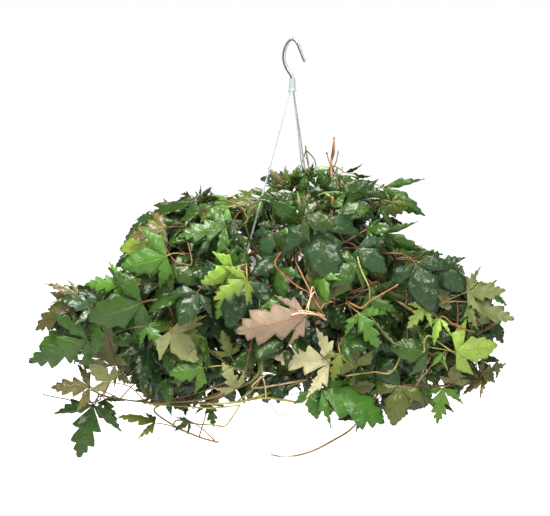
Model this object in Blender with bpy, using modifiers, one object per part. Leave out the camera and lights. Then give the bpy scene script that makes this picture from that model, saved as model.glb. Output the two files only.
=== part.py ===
"""Grape ivy in a small white hanging basket, with its moulded hook, three strands and leafy stems.

Metres, +Z up. The origin is the top of the hook's inside, where a ceiling hook carries the basket.
+X is to the right and -Y comes towards whoever looks at the front. Each leafy stem grew as one
piece, so it is one object: a stem that stands in a plain hole in the soil, and its leaves of three
lobed leaflets, each cut to its outline in one thin arched blade.
"""

import math
import random
from itertools import product
from typing import NamedTuple

import bpy
import bmesh
from mathutils import Matrix, Vector
from mathutils.bvhtree import BVHTree

SEAT_GAP = 0.0003
MERGE = 0.00001
WELD = 0.000002

# The pot, a 15 cm hanging basket
RIM_HEIGHT = -0.330
RIM_RADIUS = 0.075
FLANGE_WIDTH = 0.0095
FLANGE_THICKNESS = 0.0016
LIP_DROP = 0.0070
LIP_BULGE = 0.0008
WALL = 0.0016
POT_DEPTH = 0.116
POT_BASE_RADIUS = 0.049
DRAIN_HOLES = 4
POT_FOOT_ROUND = 0.002
POT_FLOOR_IN = 0.001
DRAIN_HOLE_RADIUS = 0.0045
DRAIN_HOLE_SIDES = 8
SOIL_BELOW_RIM = 0.012
SOIL_EDGE = (0.003, 0.002)
ROUND_STEPS = 24

# The hanger
HOOK_ROD_RADIUS = 0.0031
HOOK_THINNING = 0.25
COLLAR_TOP = -0.0545
COLLAR_BOTTOM = -0.0735
COLLAR_TOP_RADIUS = 0.0042
COLLAR_BOTTOM_RADIUS = 0.0062
COLLAR_FLARE = 0.0008
COLLAR_FLARE_HEIGHTS = (0.0030, 0.0026)
COLLAR_SIDES = 16
STRAND_AZIMUTHS = (184, 304, 64)
STRAND_TOP_SPREAD = 0.0033
STRAND_TOP_RADIUS = 0.0010
STRAND_MIDDLE = 1.3
STRAND_FOOT_RADIUS = 0.0017
STRAND_FOOT_OVER_RIM = 0.004
STRAND_SOCKET_DEPTH = 0.006
LIP_INSIDE = RIM_RADIUS - 0.0006
STRAND_HOLE_AT = (LIP_INSIDE * math.cos(math.pi / ROUND_STEPS) + RIM_RADIUS - FLANGE_WIDTH + WALL) / 2
STRAND_HOLE_SIDES = 8
BUTTON_RADIUS = 0.0030
BUTTON_THICKNESS = 0.0018
BUTTON_SIDES = 10
HOOK_BEND = (
    (0.0006, -0.0560), (-0.0020, -0.0490), (-0.0085, -0.0385), (-0.0122, -0.0270), (-0.0118, -0.0150),
    (-0.0072, -0.0030), (0.0000, 0.0033), (0.0068, -0.0020), (0.0110, -0.0115), (0.0150, -0.0215),
    (0.0186, -0.0300),
)

# The foliage
STEM_RADIUS = 0.0024
STEM_TAPER = 0.35
STEM_SINK = 0.014
STEM_RISE = 0.012
HOLE_SIDES = 5
BLADE = 0.0008
HUB = 0.0012
PETIOLE_END = 0.0009
PETIOLE = 0.030
ARCH_OUT = 0.010
CLEARANCE = 0.0007
LARGE_LEAFLET = 0.084
MIDDLE_LEAFLET = 0.056
INNER_SHARE = 0.45
STRAIGHT_ENOUGH = math.radians(16)
MOST_SIDEWAYS = 0.80
LEAST_BACKWARD = 0.02
EDGE_ON = 0.70
SELF_TEST = 0.0012

# Which way a petiole comes to its leaf, as shares: from the axis, behind, underneath and below
FROM_AXIS = 0.70
FROM_BEHIND = 0.60
FROM_UNDER = 0.25
FROM_BELOW = 0.15
KNEE = 0.009
KNEE_BACK = 0.45 * KNEE
ROOT_STEP = 6
HEADING_STEP = 5
ARCH_STEP = 0.006
DEPTH_STEP = 0.008
ANCHOR_TRIES = 5
NEXT_GOAL = 0.014
SIZES_TRIED = (1, 0.85, 0.7)
SLIDES_TRIED = sorted(range(-10, 11), key=abs)
SLIDE_STEP = 0.008
TURNS_TRIED = (0, 14, -14, 28, -28)

# The room that the foliage leaves: over the rim, under the base, round the wall and inside the rim
OVER_RIM = 0.005
UNDER_BASE = 0.010
ROUND_WALL = 0.004
INSIDE_RIM = 0.014

# How the front of the plant was measured: the view it was read from, in pixels of the photograph
PIXEL = 0.0015
PHOTO_CENTRE = (275, 258)
VIEW_DISTANCE = 2.6
VIEW_ELEVATION = math.radians(12)
VIEW_TARGET = Vector((-0.0255, 0, -0.324))
BUSH_CENTRE = (282, 318)
BUSH_HALF = (262, 150)
BUSH_DEPTH = 0.185
LAYER = 0.032


class Form(NamedTuple):
    """A leaf's form. A vein is (its root along the midrib, its length), as shares of the leaflet;
    the veins to lobe tips and those to the notches between them take turns, a lobe first."""

    veins: tuple
    side_veins: tuple
    sweep: float
    spread: float
    side_length: float
    side_drop: float
    arch: float
    cup: float


BROAD = Form(
    ((0.14, 0.44), (0.32, 0.31), (0.50, 0.32)),
    ((0.22, 0.42), (0.52, 0.22)),
    50, 62, 0.78, 14, 0.09, 0.16,
)
OAK = Form(
    ((0.14, 0.38), (0.32, 0.15), (0.50, 0.30)),
    ((0.20, 0.42), (0.46, 0.16)),
    44, 60, 0.72, 12, 0.07, 0.10,
)
YOUNG = Form(
    ((0.20, 0.27), (0.38, 0.19), (0.54, 0.20)),
    ((0.28, 0.26), (0.60, 0.14)),
    42, 46, 0.80, 6, 0.10, 0.30,
)
LOBED = Form(
    ((0.16, 0.36), (0.34, 0.20), (0.52, 0.32)),
    ((0.30, 0.34), (0.56, 0.12)),
    48, 46, 0.52, 16, 0.08, 0.12,
)


class Leaf(NamedTuple):
    """One leaf as the front shows it: where its three leaflets join, where the middle one ends, how
    many layers in it lies, how much nearer its tip is (mm), and its turn about its midrib (degrees)."""

    joint: tuple
    tip: tuple
    form: Form = BROAD
    layer: float = 0
    lean: float = 15
    roll: float = 0


class Stem(NamedTuple):
    """A leafy stem: where it roots (degrees round the pot, mm from its axis), the height in mm over
    the rim where it arches across, its leaves in order, and points its route shows, if it does."""

    name: str
    root: tuple
    arch: float
    leaves: tuple
    route: tuple = ()
    route_layer: float = 0


FRONT_STEMS = (
    Stem("high_left", (150, 30), 62, (
        Leaf((253, 200), (222, 206), OAK, 3, 5, 35),
        Leaf((228, 207), (191, 213), BROAD, 2, 10, 35),
        Leaf((196, 201), (149, 213), BROAD, 1, 5, 55),
        Leaf((165, 228), (128, 236), OAK, 0, 0, 15),
    )),
    Stem("bright_left", (204, 36), 36, (
        Leaf((234, 220), (234, 241), OAK, 1, 12, 0),
        Leaf((226, 226), (178, 236), OAK, 1, 10, 30),
        Leaf((165, 243), (119, 247), BROAD, 1, 0, 20),
        Leaf((166, 256), (121, 268), BROAD, 0, 0, -10),
    )),
    Stem("dark_left", (226, 52), 24, (
        Leaf((241, 268), (226, 248), OAK, 1, 10, 10),
        Leaf((233, 268), (202, 284), BROAD, 0, 15, -40),
        Leaf((197, 293), (180, 325), BROAD, 0, 20, 0),
        Leaf((172, 268), (200, 283), BROAD, 1, 10, 20),
        Leaf((168, 280), (110, 289), BROAD, 1, 0, 35),
        Leaf((121, 284), (85, 284), OAK, 0, 0, 0),
    )),
    Stem("reach_left", (186, 20), 16, (
        Leaf((174, 329), (148, 317), BROAD, 1, 5, 20),
        Leaf((142, 302), (87, 321), BROAD, 0, 0, 10),
        Leaf((93, 307), (60, 297), BROAD, 0, 0, 40),
        Leaf((72, 306), (33, 329), OAK, 0, 0, 20),
        Leaf((78, 296), (45, 283), YOUNG, 0, -10, 62),
    )),
    Stem("oak_left", (206, 56), 14, (
        Leaf((147, 326), (166, 349), OAK, 0, 15, 0),
        Leaf((137, 337), (113, 342), BROAD, 1, 0, 0),
        Leaf((111, 366), (98, 323), BROAD, 1, 0, 160),
        Leaf((88, 339), (28, 365), OAK, 0, 0, 0),
        Leaf((81, 331), (39, 344), OAK, 1, -10, 20),
    )),
    Stem("low_left", (243, 36), 20, (
        Leaf((203, 368), (169, 374), BROAD, 0, 5, 0),
        Leaf((150, 399), (141, 386), OAK, 1, 5, 10),
        Leaf((116, 374), (131, 384), OAK, 1, 5, 170),
        Leaf((110, 382), (90, 364), BROAD, 0, 0, 165),
        Leaf((105, 399), (115, 423), OAK, 1, 10, 0),
        Leaf((93, 405), (78, 459), OAK, 0, 15, 0),
        Leaf((90, 387), (51, 387), OAK, 0, 0, 10),
    ), (
        (250, 350), (240, 385), (215, 400), (190, 403), (165, 402), (145, 402), (120, 399), (102, 395), (92, 390),
    ), 1),
    Stem("low_left_bud", (264, 30), 16, (
        Leaf((236, 389), (224, 364), OAK, 0, 10, 0),
        Leaf((170, 400), (188, 408), BROAD, 1, 5, 0),
        Leaf((209, 402), (214, 427), OAK, 1, 10, 0),
        Leaf((155, 423), (118, 415), OAK, 0, 0, 55),
        Leaf((190, 421), (174, 431), YOUNG, 0, 5, 0),
    ), (
        (262, 360), (246, 384), (215, 397), (190, 401), (166, 403), (154, 410), (165, 420), (182, 430), (199, 437),
        (216, 442),
    ), 0),
    Stem("centre_left", (240, 56), 14, (
        Leaf((248, 280), (226, 326), BROAD, 1, 25, 0),
        Leaf((180, 326), (209, 351), OAK, 1, 5, 20),
        Leaf((170, 331), (196, 362), BROAD, 0, 5, 172),
        Leaf((230, 355), (222, 331), OAK, 1, 5, 0),
        Leaf((210, 316), (234, 345), BROAD, 2, 10, 0),
    )),
    Stem("upright", (100, 12), 88, (
        Leaf((299, 223), (273, 202), BROAD, 2, 5, 0),
        Leaf((291, 192), (262, 196), BROAD, 3.8, 5, 30),
        Leaf((285, 186), (268, 168), YOUNG, 3.5, 0, 0),
        Leaf((290, 184), (299, 165), YOUNG, 3, 5, 0),
    ), ((300, 240), (301, 212), (306, 193), (309, 172), (306, 150)), 2.6),
    Stem("crown", (262, 20), 56, (
        Leaf((296, 234), (282, 258), BROAD, 1, 10, 0),
        Leaf((301, 208), (313, 191), YOUNG, 1, 0, 25),
        Leaf((304, 217), (335, 226), BROAD, 1, 10, 25),
        Leaf((316, 222), (331, 283), BROAD, -0.3, 35, 0),
        Leaf((272, 232), (262, 260), BROAD, 1, 5, 0),
    ), ((288, 246), (297, 230), (307, 216), (311, 201)), 1.6),
    Stem("budded", (20, 22), 80, (
        Leaf((336, 214), (369, 208), BROAD, 1, 5, -15),
        Leaf((336, 200), (371, 183), BROAD, 2, 5, 10),
        Leaf((345, 173), (371, 178), YOUNG, 3, 0, 55),
        Leaf((329, 190), (308, 193), BROAD, 3, 5, 10),
    ), ((334, 230), (332, 212), (333, 190), (331, 165), (334, 140)), 2.2),
    Stem("high_right", (356, 42), 55, (
        Leaf((384, 187), (425, 217), YOUNG, 2, 5, 10),
        Leaf((391, 202), (411, 205), YOUNG, 1, 5, 10),
        Leaf((381, 206), (388, 221), YOUNG, 1.2, 5, 0),
    )),
    Stem("arched_right", (330, 30), 40, (
        Leaf((358, 248), (386, 272), BROAD, 0, 15, 0),
        Leaf((385, 233), (424, 252), YOUNG, 1, 5, 25),
        Leaf((381, 246), (405, 243), OAK, 2, 0, 30),
    )),
    Stem("dark_right", (345, 56), 24, (
        Leaf((415, 263), (432, 312), BROAD, 0, 20, 0),
        Leaf((413, 258), (434, 259), OAK, 2, 0, 40),
        Leaf((438, 268), (464, 293), BROAD, 0, 5, 10),
        Leaf((436, 286), (448, 310), BROAD, 1, 10, 170),
    )),
    Stem("oak_right", (324, 48), 18, (
        Leaf((425, 308), (407, 328), OAK, 0, 10, 165),
        Leaf((440, 318), (433, 345), YOUNG, 0, 10, 20),
        Leaf((457, 321), (470, 320), BROAD, 1, 5, 0),
        Leaf((467, 292), (505, 291), OAK, 0, 0, 170),
        Leaf((470, 327), (494, 314), OAK, 1, 0, 170),
        Leaf((469, 302), (514, 321), OAK, 0, 10, 165),
    ), ((405, 306), (425, 312), (438, 318), (457, 327), (472, 332), (484, 329), (498, 321)), 0.6),
    Stem("front_right", (292, 52), 30, (
        Leaf((357, 262), (331, 286), BROAD, 0, 15, 0),
        Leaf((333, 298), (309, 259), BROAD, 1, 5, 165),
        Leaf((396, 286), (418, 300), BROAD, 1, 5, 20),
        Leaf((366, 297), (396, 311), OAK, 1, 5, 0),
        Leaf((359, 313), (378, 348), OAK, 0, 15, 0),
        Leaf((372, 330), (399, 352), BROAD, 1.6, 10, 0),
    )),
    Stem("centre_low", (284, 54), 16, (
        Leaf((306, 315), (236, 332), LOBED, 0, 5, 0),
        Leaf((265, 355), (276, 374), OAK, 1, 10, 0),
        Leaf((330, 363), (274, 356), OAK, 0.3, 5, 170),
        Leaf((340, 354), (332, 381), OAK, 0, 10, 10),
        Leaf((356, 367), (342, 337), BROAD, 1, 5, 170),
    )),
    Stem("bottom", (276, 24), 26, (
        Leaf((312, 391), (317, 419), BROAD, 0, 10, 0),
        Leaf((321, 390), (386, 421), LOBED, 0, 5, -20),
        Leaf((352, 390), (375, 384), BROAD, 1, 5, 165),
        Leaf((362, 414), (338, 418), BROAD, 1, 0, 60),
        Leaf((400, 386), (393, 426), BROAD, 0, 10, 0),
    )),
    Stem("low_right", (315, 56), 14, (
        Leaf((428, 352), (391, 347), BROAD, 0, 10, 0),
        Leaf((443, 353), (432, 366), YOUNG, 0, 5, 0),
        Leaf((456, 352), (498, 346), BROAD, 0, 0, 0),
        Leaf((453, 383), (457, 363), BROAD, 0, 5, 160),
        Leaf((443, 388), (437, 424), OAK, 0, 10, 0),
        Leaf((484, 380), (461, 394), YOUNG, 0, 5, 50),
        Leaf((482, 373), (506, 364), OAK, 0, 0, 160),
    ), ((385, 335), (420, 349), (442, 361), (449, 374), (452, 384), (466, 383), (478, 379)), 0.5),
)

MID_GREEN_STEMS = (
    "high_left", "bright_left", "low_left_bud", "centre_left", "upright", "centre_low", "low_right",
)
OLIVE_STEMS = ("oak_left", "oak_right", "low_left", "high_right")

# The back and the sides: (direction in degrees, arch over the rim in mm, reach in mm, fall in mm)
BACK_STEMS = (
    (168, 46, 210, 40), (156, 18, 285, 130), (138, 44, 225, 70), (118, 16, 265, 150), (98, 48, 205, 60),
    (78, 18, 255, 145), (58, 44, 215, 66), (38, 16, 262, 145), (14, 42, 240, 90),
)
BACK_LEAVES = 4
BACK_ROOTS = (54, 32)
BACK_LAYER = 9
BACK_SEED = 700
BACK_START = 0.085
BACK_SWING = (0.6, 1.2)
BACK_FALL_POWER = 1.5
BACK_UNEVEN = 0.006
BACK_SWAY = 28
BACK_OUTWARD = (0.75, 1.0)
BACK_DOWNWARD = (0.25, 0.85)
BACK_FACING_OUT = 0.55
BACK_ROLL = 25
BACK_TURN = 16
BACK_OVER_ARCH = 0.018
BACK_LENGTHS = (0.058, 0.088)


# Views and layout

def view_axes():
    """The view's eye point, and its right, up and forward directions."""
    forward = Vector((0, math.cos(VIEW_ELEVATION), -math.sin(VIEW_ELEVATION)))
    right = Vector((1, 0, 0))
    return VIEW_TARGET - forward * VIEW_DISTANCE, right, right.cross(forward), forward


def seen_at(pixel, near):
    """The point that shows at a pixel and lies this far in front of the pot's axis."""
    eye, right, up, forward = view_axes()
    across = (pixel[0] - PHOTO_CENTRE[0]) * PIXEL
    down = (pixel[1] - PHOTO_CENTRE[1]) * PIXEL
    ray = forward * VIEW_DISTANCE + right * across - up * down
    return eye + ray * ((-near - eye.y) / ray.y)


def bush_front(pixel, layer):
    """How far in front of the pot's axis the foliage lies there, a number of layers in."""
    across = (pixel[0] - BUSH_CENTRE[0]) / BUSH_HALF[0]
    down = (pixel[1] - BUSH_CENTRE[1]) / BUSH_HALF[1]
    return BUSH_DEPTH * math.sqrt(max(0, 1 - across ** 2 - down ** 2)) - layer * LAYER


def polar(degrees, radius, height):
    angle = math.radians(degrees)
    return Vector((radius * math.cos(angle), radius * math.sin(angle), height))


def smooth_route(points, steps):
    """Points along a smooth curve through the given ones, with a number of steps to each span."""
    ends = [points[0] * 2 - points[1], *points, points[-1] * 2 - points[-2]]
    route = []
    for before, start, end, after in zip(ends, ends[1:], ends[2:], ends[3:]):
        for step in range(steps):
            t = step / steps
            bend = (end - before) * t + (before * 2 - start * 5 + end * 4 - after) * t ** 2
            bend += (start * 3 - before - end * 3 + after) * t ** 3
            route.append(start + bend / 2)
    return route + [points[-1]]


def carried_frames(route, first_side):
    """A side and a face direction at each point of a route, carried along it with no twist."""
    frames = []
    side = first_side
    for index in range(len(route)):
        along = route[min(index + 1, len(route) - 1)] - route[max(index - 1, 0)]
        along.normalize()
        side = (side - along * side.dot(along)).normalized()
        frames.append((side, side.cross(along)))
    return frames


def tube_shell(route, radius):
    """Points and faces of a plain four-sided tube, used only to see what it would touch."""
    start = route[1] - route[0]
    points = []
    for place, (side, face) in zip(route, carried_frames(route, start.orthogonal())):
        points += [place + side * radius, place + face * radius, place - side * radius, place - face * radius]
    faces = []
    for ring in range(0, len(points) - 4, 4):
        for corner in range(4):
            after = (corner + 1) % 4
            faces.append((ring + corner, ring + after, ring + 4 + after, ring + 4 + corner))
    return points, faces


class Room:
    """What is already in place, to keep each new stem and leaf clear of it."""

    def __init__(self):
        self.shells = []

    def add(self, points, faces):
        lowest = [min(point[axis] for point in points) for axis in range(3)]
        highest = [max(point[axis] for point in points) for axis in range(3)]
        self.shells.append((BVHTree.FromPolygons(points, faces), lowest, highest))

    def free(self, points, faces, but):
        """True if it touches nothing in place but that one, and stays out of the pot."""
        lowest = [min(point[axis] for point in points) for axis in range(3)]
        highest = [max(point[axis] for point in points) for axis in range(3)]
        tree = BVHTree.FromPolygons(points, faces)
        for other, low, high in self.shells:
            apart = any(lowest[axis] > high[axis] or highest[axis] < low[axis] for axis in range(3))
            if not apart and other is not but[0] and tree.overlap(other):
                return False
        return not any(in_basket(point) for point in points)


def in_basket(point):
    """True in the pot or just round it, up to a little over its rim."""
    below_rim = RIM_HEIGHT + OVER_RIM - point.z
    radius = math.hypot(point.x, point.y)
    return 0 < below_rim < POT_DEPTH + UNDER_BASE and radius < RIM_RADIUS + ROUND_WALL


# A leaf's blade, as its middle surface

class Blade:
    """The middle surface of a leaf with its petiole: triangles that a thickness is given to."""

    def __init__(self, joint, axes):
        self.joint = joint
        self.axes = axes
        self.points = []
        self.faces = []
        self.petiole_start = 0
        self.kneed = False
        self.edge_on = False

    def add(self, across, along, lift):
        side, ahead, face = self.axes
        self.points.append(self.joint + side * across + ahead * along + face * lift)
        return len(self.points) - 1

    def leaflet(self, base, turn, length, veins, form, drop):
        """A leaflet on a base edge of the hub, turned from the leaf's own direction. The side that
        it turns to the middle leaflet is the narrow one."""
        left_share = INNER_SHARE if turn > 0 else 1
        right_share = INNER_SHARE if turn < 0 else 1
        sweep = math.radians(form.sweep)
        cos_turn, sin_turn = math.cos(turn), math.sin(turn)
        fall = math.tan(math.radians(drop))

        def place(across, along):
            lift = form.arch * length * math.sin(math.pi * min(along / length, 1))
            lift -= form.cup * abs(across) + fall * along
            return self.add(
                across * cos_turn + along * sin_turn, along * cos_turn - across * sin_turn, lift)

        def vein_end(root, reach, share):
            run = reach * share * length
            return run * math.sin(sweep), root * length + run * math.cos(sweep)

        left, right = base
        before = None
        for order, (root, reach) in enumerate(veins):
            left_across, left_along = vein_end(root, reach, left_share)
            right_across, right_along = vein_end(root, reach, right_share)
            row = (place(-left_across, left_along), place(0, root * length), place(right_across, right_along))
            if before is None:
                self.faces += [(left, row[1], row[0]), (left, right, row[1]), (right, row[2], row[1])]
            elif order % 2:
                self.faces += [(before[0], before[1], row[0]), (before[1], row[1], row[0])]
                self.faces += [(before[1], before[2], row[2]), (before[1], row[2], row[1])]
            else:
                self.faces += [(before[0], row[1], row[0]), (before[0], before[1], row[1])]
                self.faces += [(before[2], row[2], row[1]), (before[1], before[2], row[1])]
            before = row
        tip = place(0, length)
        self.faces += [(before[0], before[1], tip), (before[1], before[2], tip)]

    def petiole(self, back, anchor):
        """A flat strip from the hub's back edge to its anchor in the stem. It has a knee where a
        straight one would fold under a leaflet."""
        side, ahead, face = self.axes
        self.petiole_start = len(self.faces)
        way = (anchor - self.joint).normalized()
        self.kneed = abs(way.dot(side)) > MOST_SIDEWAYS or -way.dot(ahead) < LEAST_BACKWARD
        knee = self.joint - ahead * KNEE_BACK - face * KNEE
        half_width = side * PETIOLE_END
        left, right = back
        for place in (knee, anchor) if self.kneed else (anchor,):
            self.points += [place - half_width, place + half_width]
            new_left, new_right = len(self.points) - 2, len(self.points) - 1
            self.faces.append((new_left, new_right, right, left))
            left, right = new_left, new_right
        self.edge_on = self.kneed and abs((anchor - knee).normalized().dot(side)) > EDGE_ON

    def crosses_itself(self):
        """True if two faces that share no corner meet."""
        points, faces = self.shell(SELF_TEST)
        count = len(self.points)
        tree = BVHTree.FromPolygons(points, faces)
        corners = [{corner % count for corner in face} for face in faces]
        return any(corners[one].isdisjoint(corners[other]) for one, other in tree.overlap(tree))

    def shell(self, thickness):
        """The two faces of the blade, so thick, used only to see what it would touch."""
        normals = [Vector() for _ in self.points]
        for corners in self.faces:
            first, second, third = (self.points[corner] for corner in corners[:3])
            flat = (second - first).cross(third - first)
            for corner in corners:
                normals[corner] += flat
        offsets = [normal.normalized() * thickness / 2 for normal in normals]
        above = [point + offset for point, offset in zip(self.points, offsets)]
        below = [point - offset for point, offset in zip(self.points, offsets)]
        count = len(self.points)
        return above + below, self.faces + [tuple(c + count for c in face) for face in self.faces]


def leaf_blade(joint, axes, length, form, anchor):
    """The blade of a whole leaf: its hub, three leaflets and the petiole back to the stem."""
    blade = Blade(joint, axes)
    corners = [blade.add(x * HUB, y * HUB, 0) for x, y in ((-1, 1), (1, 1), (1, -1), (-1, -1))]
    front_left, front_right, back_right, back_left = corners
    blade.faces += [(back_left, back_right, front_right), (back_left, front_right, front_left)]
    spread = math.radians(form.spread)
    middle_veins = form.veins if length > MIDDLE_LEAFLET else form.side_veins
    side_veins = form.side_veins if length > LARGE_LEAFLET else form.side_veins[:1]
    blade.leaflet((front_left, front_right), 0, length, middle_veins, form, 0)
    side_length = length * form.side_length
    blade.leaflet((front_right, back_right), spread, side_length, side_veins, form, form.side_drop)
    blade.leaflet((back_left, front_left), -spread, side_length, side_veins, form, form.side_drop)
    blade.petiole((back_left, back_right), anchor)
    return blade


def leaf_axes(joint, tip, facing, roll):
    """Side, ahead and face directions of a leaf that looks towards a direction, then rolls."""
    ahead = (tip - joint).normalized()
    face = (facing - ahead * facing.dot(ahead)).normalized()
    face.rotate(Matrix.Rotation(math.radians(roll), 3, ahead))
    return ahead.cross(face), ahead, face


class Placed(NamedTuple):
    """A leaf to be placed: its joint, tip and facing in space, and which way it may slide."""

    joint: Vector
    tip: Vector
    facing: Vector
    slide: Vector
    form: Form
    roll: float


def front_leaf(leaf):
    near = bush_front(leaf.joint, leaf.layer)
    joint = seen_at(leaf.joint, near)
    tip = seen_at(leaf.tip, near + leaf.lean / 1000)
    eye = view_axes()[0]
    towards_eye = (eye - joint).normalized()
    return Placed(joint, tip, towards_eye, towards_eye, leaf.form, leaf.roll)


def back_leaves(direction, arch, reach, fall, order):
    """Leaves by rule down one stem of the back, each turned a little to the left or right of it."""
    draw = random.Random(BACK_SEED + order)
    placed = []
    for index in range(BACK_LEAVES):
        share = (index + 1) / BACK_LEAVES
        turned = direction + (BACK_TURN if index % 2 else -BACK_TURN) * draw.uniform(*BACK_SWING)
        radius = BACK_START + (reach / 1000 - BACK_START) * share
        height = RIM_HEIGHT + arch / 1000 + BACK_OVER_ARCH - (fall + arch) / 1000 * share ** BACK_FALL_POWER
        joint = polar(turned, radius, height + draw.uniform(-BACK_UNEVEN, BACK_UNEVEN))
        outward = polar(turned + draw.uniform(-BACK_SWAY, BACK_SWAY), 1, 0)
        ahead = outward * draw.uniform(*BACK_OUTWARD) + Vector((0, 0, -draw.uniform(*BACK_DOWNWARD)))
        length = draw.uniform(*BACK_LENGTHS)
        form = draw.choice((BROAD, BROAD, OAK))
        facing = outward * BACK_FACING_OUT + Vector((0, 0, 1))
        tip = joint + ahead.normalized() * length
        placed.append(Placed(joint, tip, facing, outward, form, draw.uniform(-BACK_ROLL, BACK_ROLL)))
    return placed


def wanted_anchor(placed):
    """Where the stem would pass so that the leaf's petiole comes forward out of the bush."""
    inward = Vector((-placed.joint.x, -placed.joint.y, 0)).normalized()
    ahead = (placed.tip - placed.joint).normalized()
    back = inward * FROM_AXIS - ahead * FROM_BEHIND - placed.facing.normalized() * FROM_UNDER
    back.z -= FROM_BELOW
    return placed.joint + back.normalized() * PETIOLE


def stem_changes():
    """Small changes to a stem's route, the least first: steps of its root, its heading over the rim,
    its arch and its depth. They let it pass the strands and the other stems."""
    steps = range(-3, 4)
    changes = product(steps, steps, (-1, 0, 1), (-1, 0, 1))
    return sorted(changes, key=lambda change: sum(map(abs, change)) + abs(change[3]))


def stem_route(root, arch, shown, anchors, change):
    """The stem's points: up out of the soil, over the rim towards its leaves, and on to the last."""
    root_step, heading_step, arch_step, depth_step = change
    soil = RIM_HEIGHT - SOIL_BELOW_RIM
    base = polar(root[0] + ROOT_STEP * root_step, root[1] / 1000, soil)
    points = [base - Vector((0, 0, STEM_SINK)), base + Vector((0, 0, STEM_RISE))]
    eye = view_axes()[0]
    goals = [goal + (eye - goal).normalized() * (DEPTH_STEP * depth_step) for goal in shown]
    goals = goals or [goal + Vector((0, 0, DEPTH_STEP * depth_step)) for goal in anchors]
    first = goals[0]
    heading = math.degrees(math.atan2(first.y, first.x)) + HEADING_STEP * heading_step
    if math.hypot(first.x, first.y) > RIM_RADIUS:
        height = RIM_HEIGHT + arch / 1000 + ARCH_STEP * arch_step
        points.append(polar(heading, RIM_RADIUS + ARCH_OUT, height))
    for goal in goals:
        if (goal - points[-1]).length > NEXT_GOAL:
            points.append(goal)
    return without_straights(smooth_route(points, 2))


def without_straights(route):
    """The route with each halfway point left out where it bends too little to show, and the one in
    the soil, where the stem is straight."""
    kept = route[:1]
    for index in range(2, len(route) - 1):
        bend = (route[index] - kept[-1]).angle(route[index + 1] - route[index])
        if index % 2 == 0 or bend > STRAIGHT_ENOUGH:
            kept.append(route[index])
    return kept + route[-1:]


def over_the_rim(route):
    inside = RIM_RADIUS - INSIDE_RIM
    return all(not in_basket(point) or math.hypot(point.x, point.y) < inside for point in route)


class Plan:
    """The whole foliage laid out so that nothing crosses: a route for each stem, and its blades."""

    def __init__(self):
        self.room = Room()
        self.routes = {}
        self.own = {}
        self.blades = {}
        self.dropped = []

    def keep_strands_clear(self):
        for azimuth in STRAND_AZIMUTHS:
            self.room.add(*tube_shell(strand_route(azimuth), STRAND_FOOT_RADIUS + CLEARANCE))

    def lay_stem(self, name, root, arch, shown, leaves):
        anchors = [wanted_anchor(leaf) for leaf in leaves]
        for change in stem_changes():
            route = stem_route(root, arch, shown, anchors, change)
            points, faces = tube_shell(route, STEM_RADIUS + CLEARANCE)
            free = self.room_free_of_tubes(points, faces)
            if free and over_the_rim(route):
                break
        else:
            self.dropped.append(name)
        self.room.add(points, faces)
        self.own[name] = self.room.shells[-1]
        self.routes[name] = route
        self.blades[name] = []

    def room_free_of_tubes(self, points, faces):
        tree = BVHTree.FromPolygons(points, faces)
        return not any(tree.overlap(other) for other, _, _ in self.room.shells)

    def lay_leaf(self, name, leaf):
        """Tries the leaf where it was seen, then a little nearer or further, turned or smaller."""
        wanted = wanted_anchor(leaf)
        anchors = sorted(self.routes[name][3:], key=lambda point: (point - wanted).length)[:ANCHOR_TRIES]
        for size, shift, turn, anchor in product(SIZES_TRIED, SLIDES_TRIED, TURNS_TRIED, anchors):
            blade = moved_blade(leaf, size, leaf.slide * (shift * SLIDE_STEP), turn, anchor)
            if self.fits(blade, self.own[name]):
                self.room.add(*blade.shell(BLADE))
                self.blades[name].append(blade)
                return
        self.dropped.append(f"leaf of {name} at {leaf.joint}")

    def fits(self, blade, own):
        """True if the blade clears all else, and its leaflets clear its own stem and petiole."""
        points, faces = blade.shell(BLADE + 2 * CLEARANCE)
        half = len(blade.faces)
        strip = blade.petiole_start
        leaflets = BVHTree.FromPolygons(points, faces[:strip] + faces[half:half + strip])
        if blade.edge_on or leaflets.overlap(own[0]):
            return False
        if blade.kneed and leaflets.overlap(BVHTree.FromPolygons(points, faces[half - 1::half])):
            return False
        return self.room.free(points, faces, own) and not blade.crosses_itself()


def moved_blade(leaf, size, move, turn, anchor):
    joint = leaf.joint + move
    tip = joint + (leaf.tip - leaf.joint) * size
    axes = leaf_axes(joint, tip, leaf.facing, leaf.roll + turn)
    return leaf_blade(joint, axes, (tip - joint).length, leaf.form, anchor)


def lay_out_foliage():
    """Stems first, then the leaves of the front from its outermost layer in, then those of the back."""
    plan = Plan()
    plan.keep_strands_clear()
    layered = []
    for stem in FRONT_STEMS:
        shown = [seen_at(point, bush_front(point, stem.route_layer)) for point in stem.route]
        leaves = [front_leaf(leaf) for leaf in stem.leaves]
        layered += [(leaf.layer, stem.name, placed) for leaf, placed in zip(stem.leaves, leaves)]
        plan.lay_stem(stem.name, stem.root, stem.arch, shown, leaves)
    layered.sort(key=lambda entry: entry[0])
    for order, (direction, arch, reach, fall) in enumerate(BACK_STEMS):
        name = f"back_{order + 1}"
        leaves = back_leaves(direction, arch, reach, fall, order)
        layered += [(BACK_LAYER, name, placed) for placed in leaves]
        plan.lay_stem(name, (direction, BACK_ROOTS[order % 2]), arch, [], leaves)
    for _, name, placed in layered:
        plan.lay_leaf(name, placed)
    return plan


# Building in Blender

def clear_scene():
    for obj in list(bpy.data.objects):
        bpy.data.objects.remove(obj, do_unlink=True)


def new_collection(name):
    collection = bpy.data.collections.new(name)
    bpy.context.scene.collection.children.link(collection)
    return collection


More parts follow.
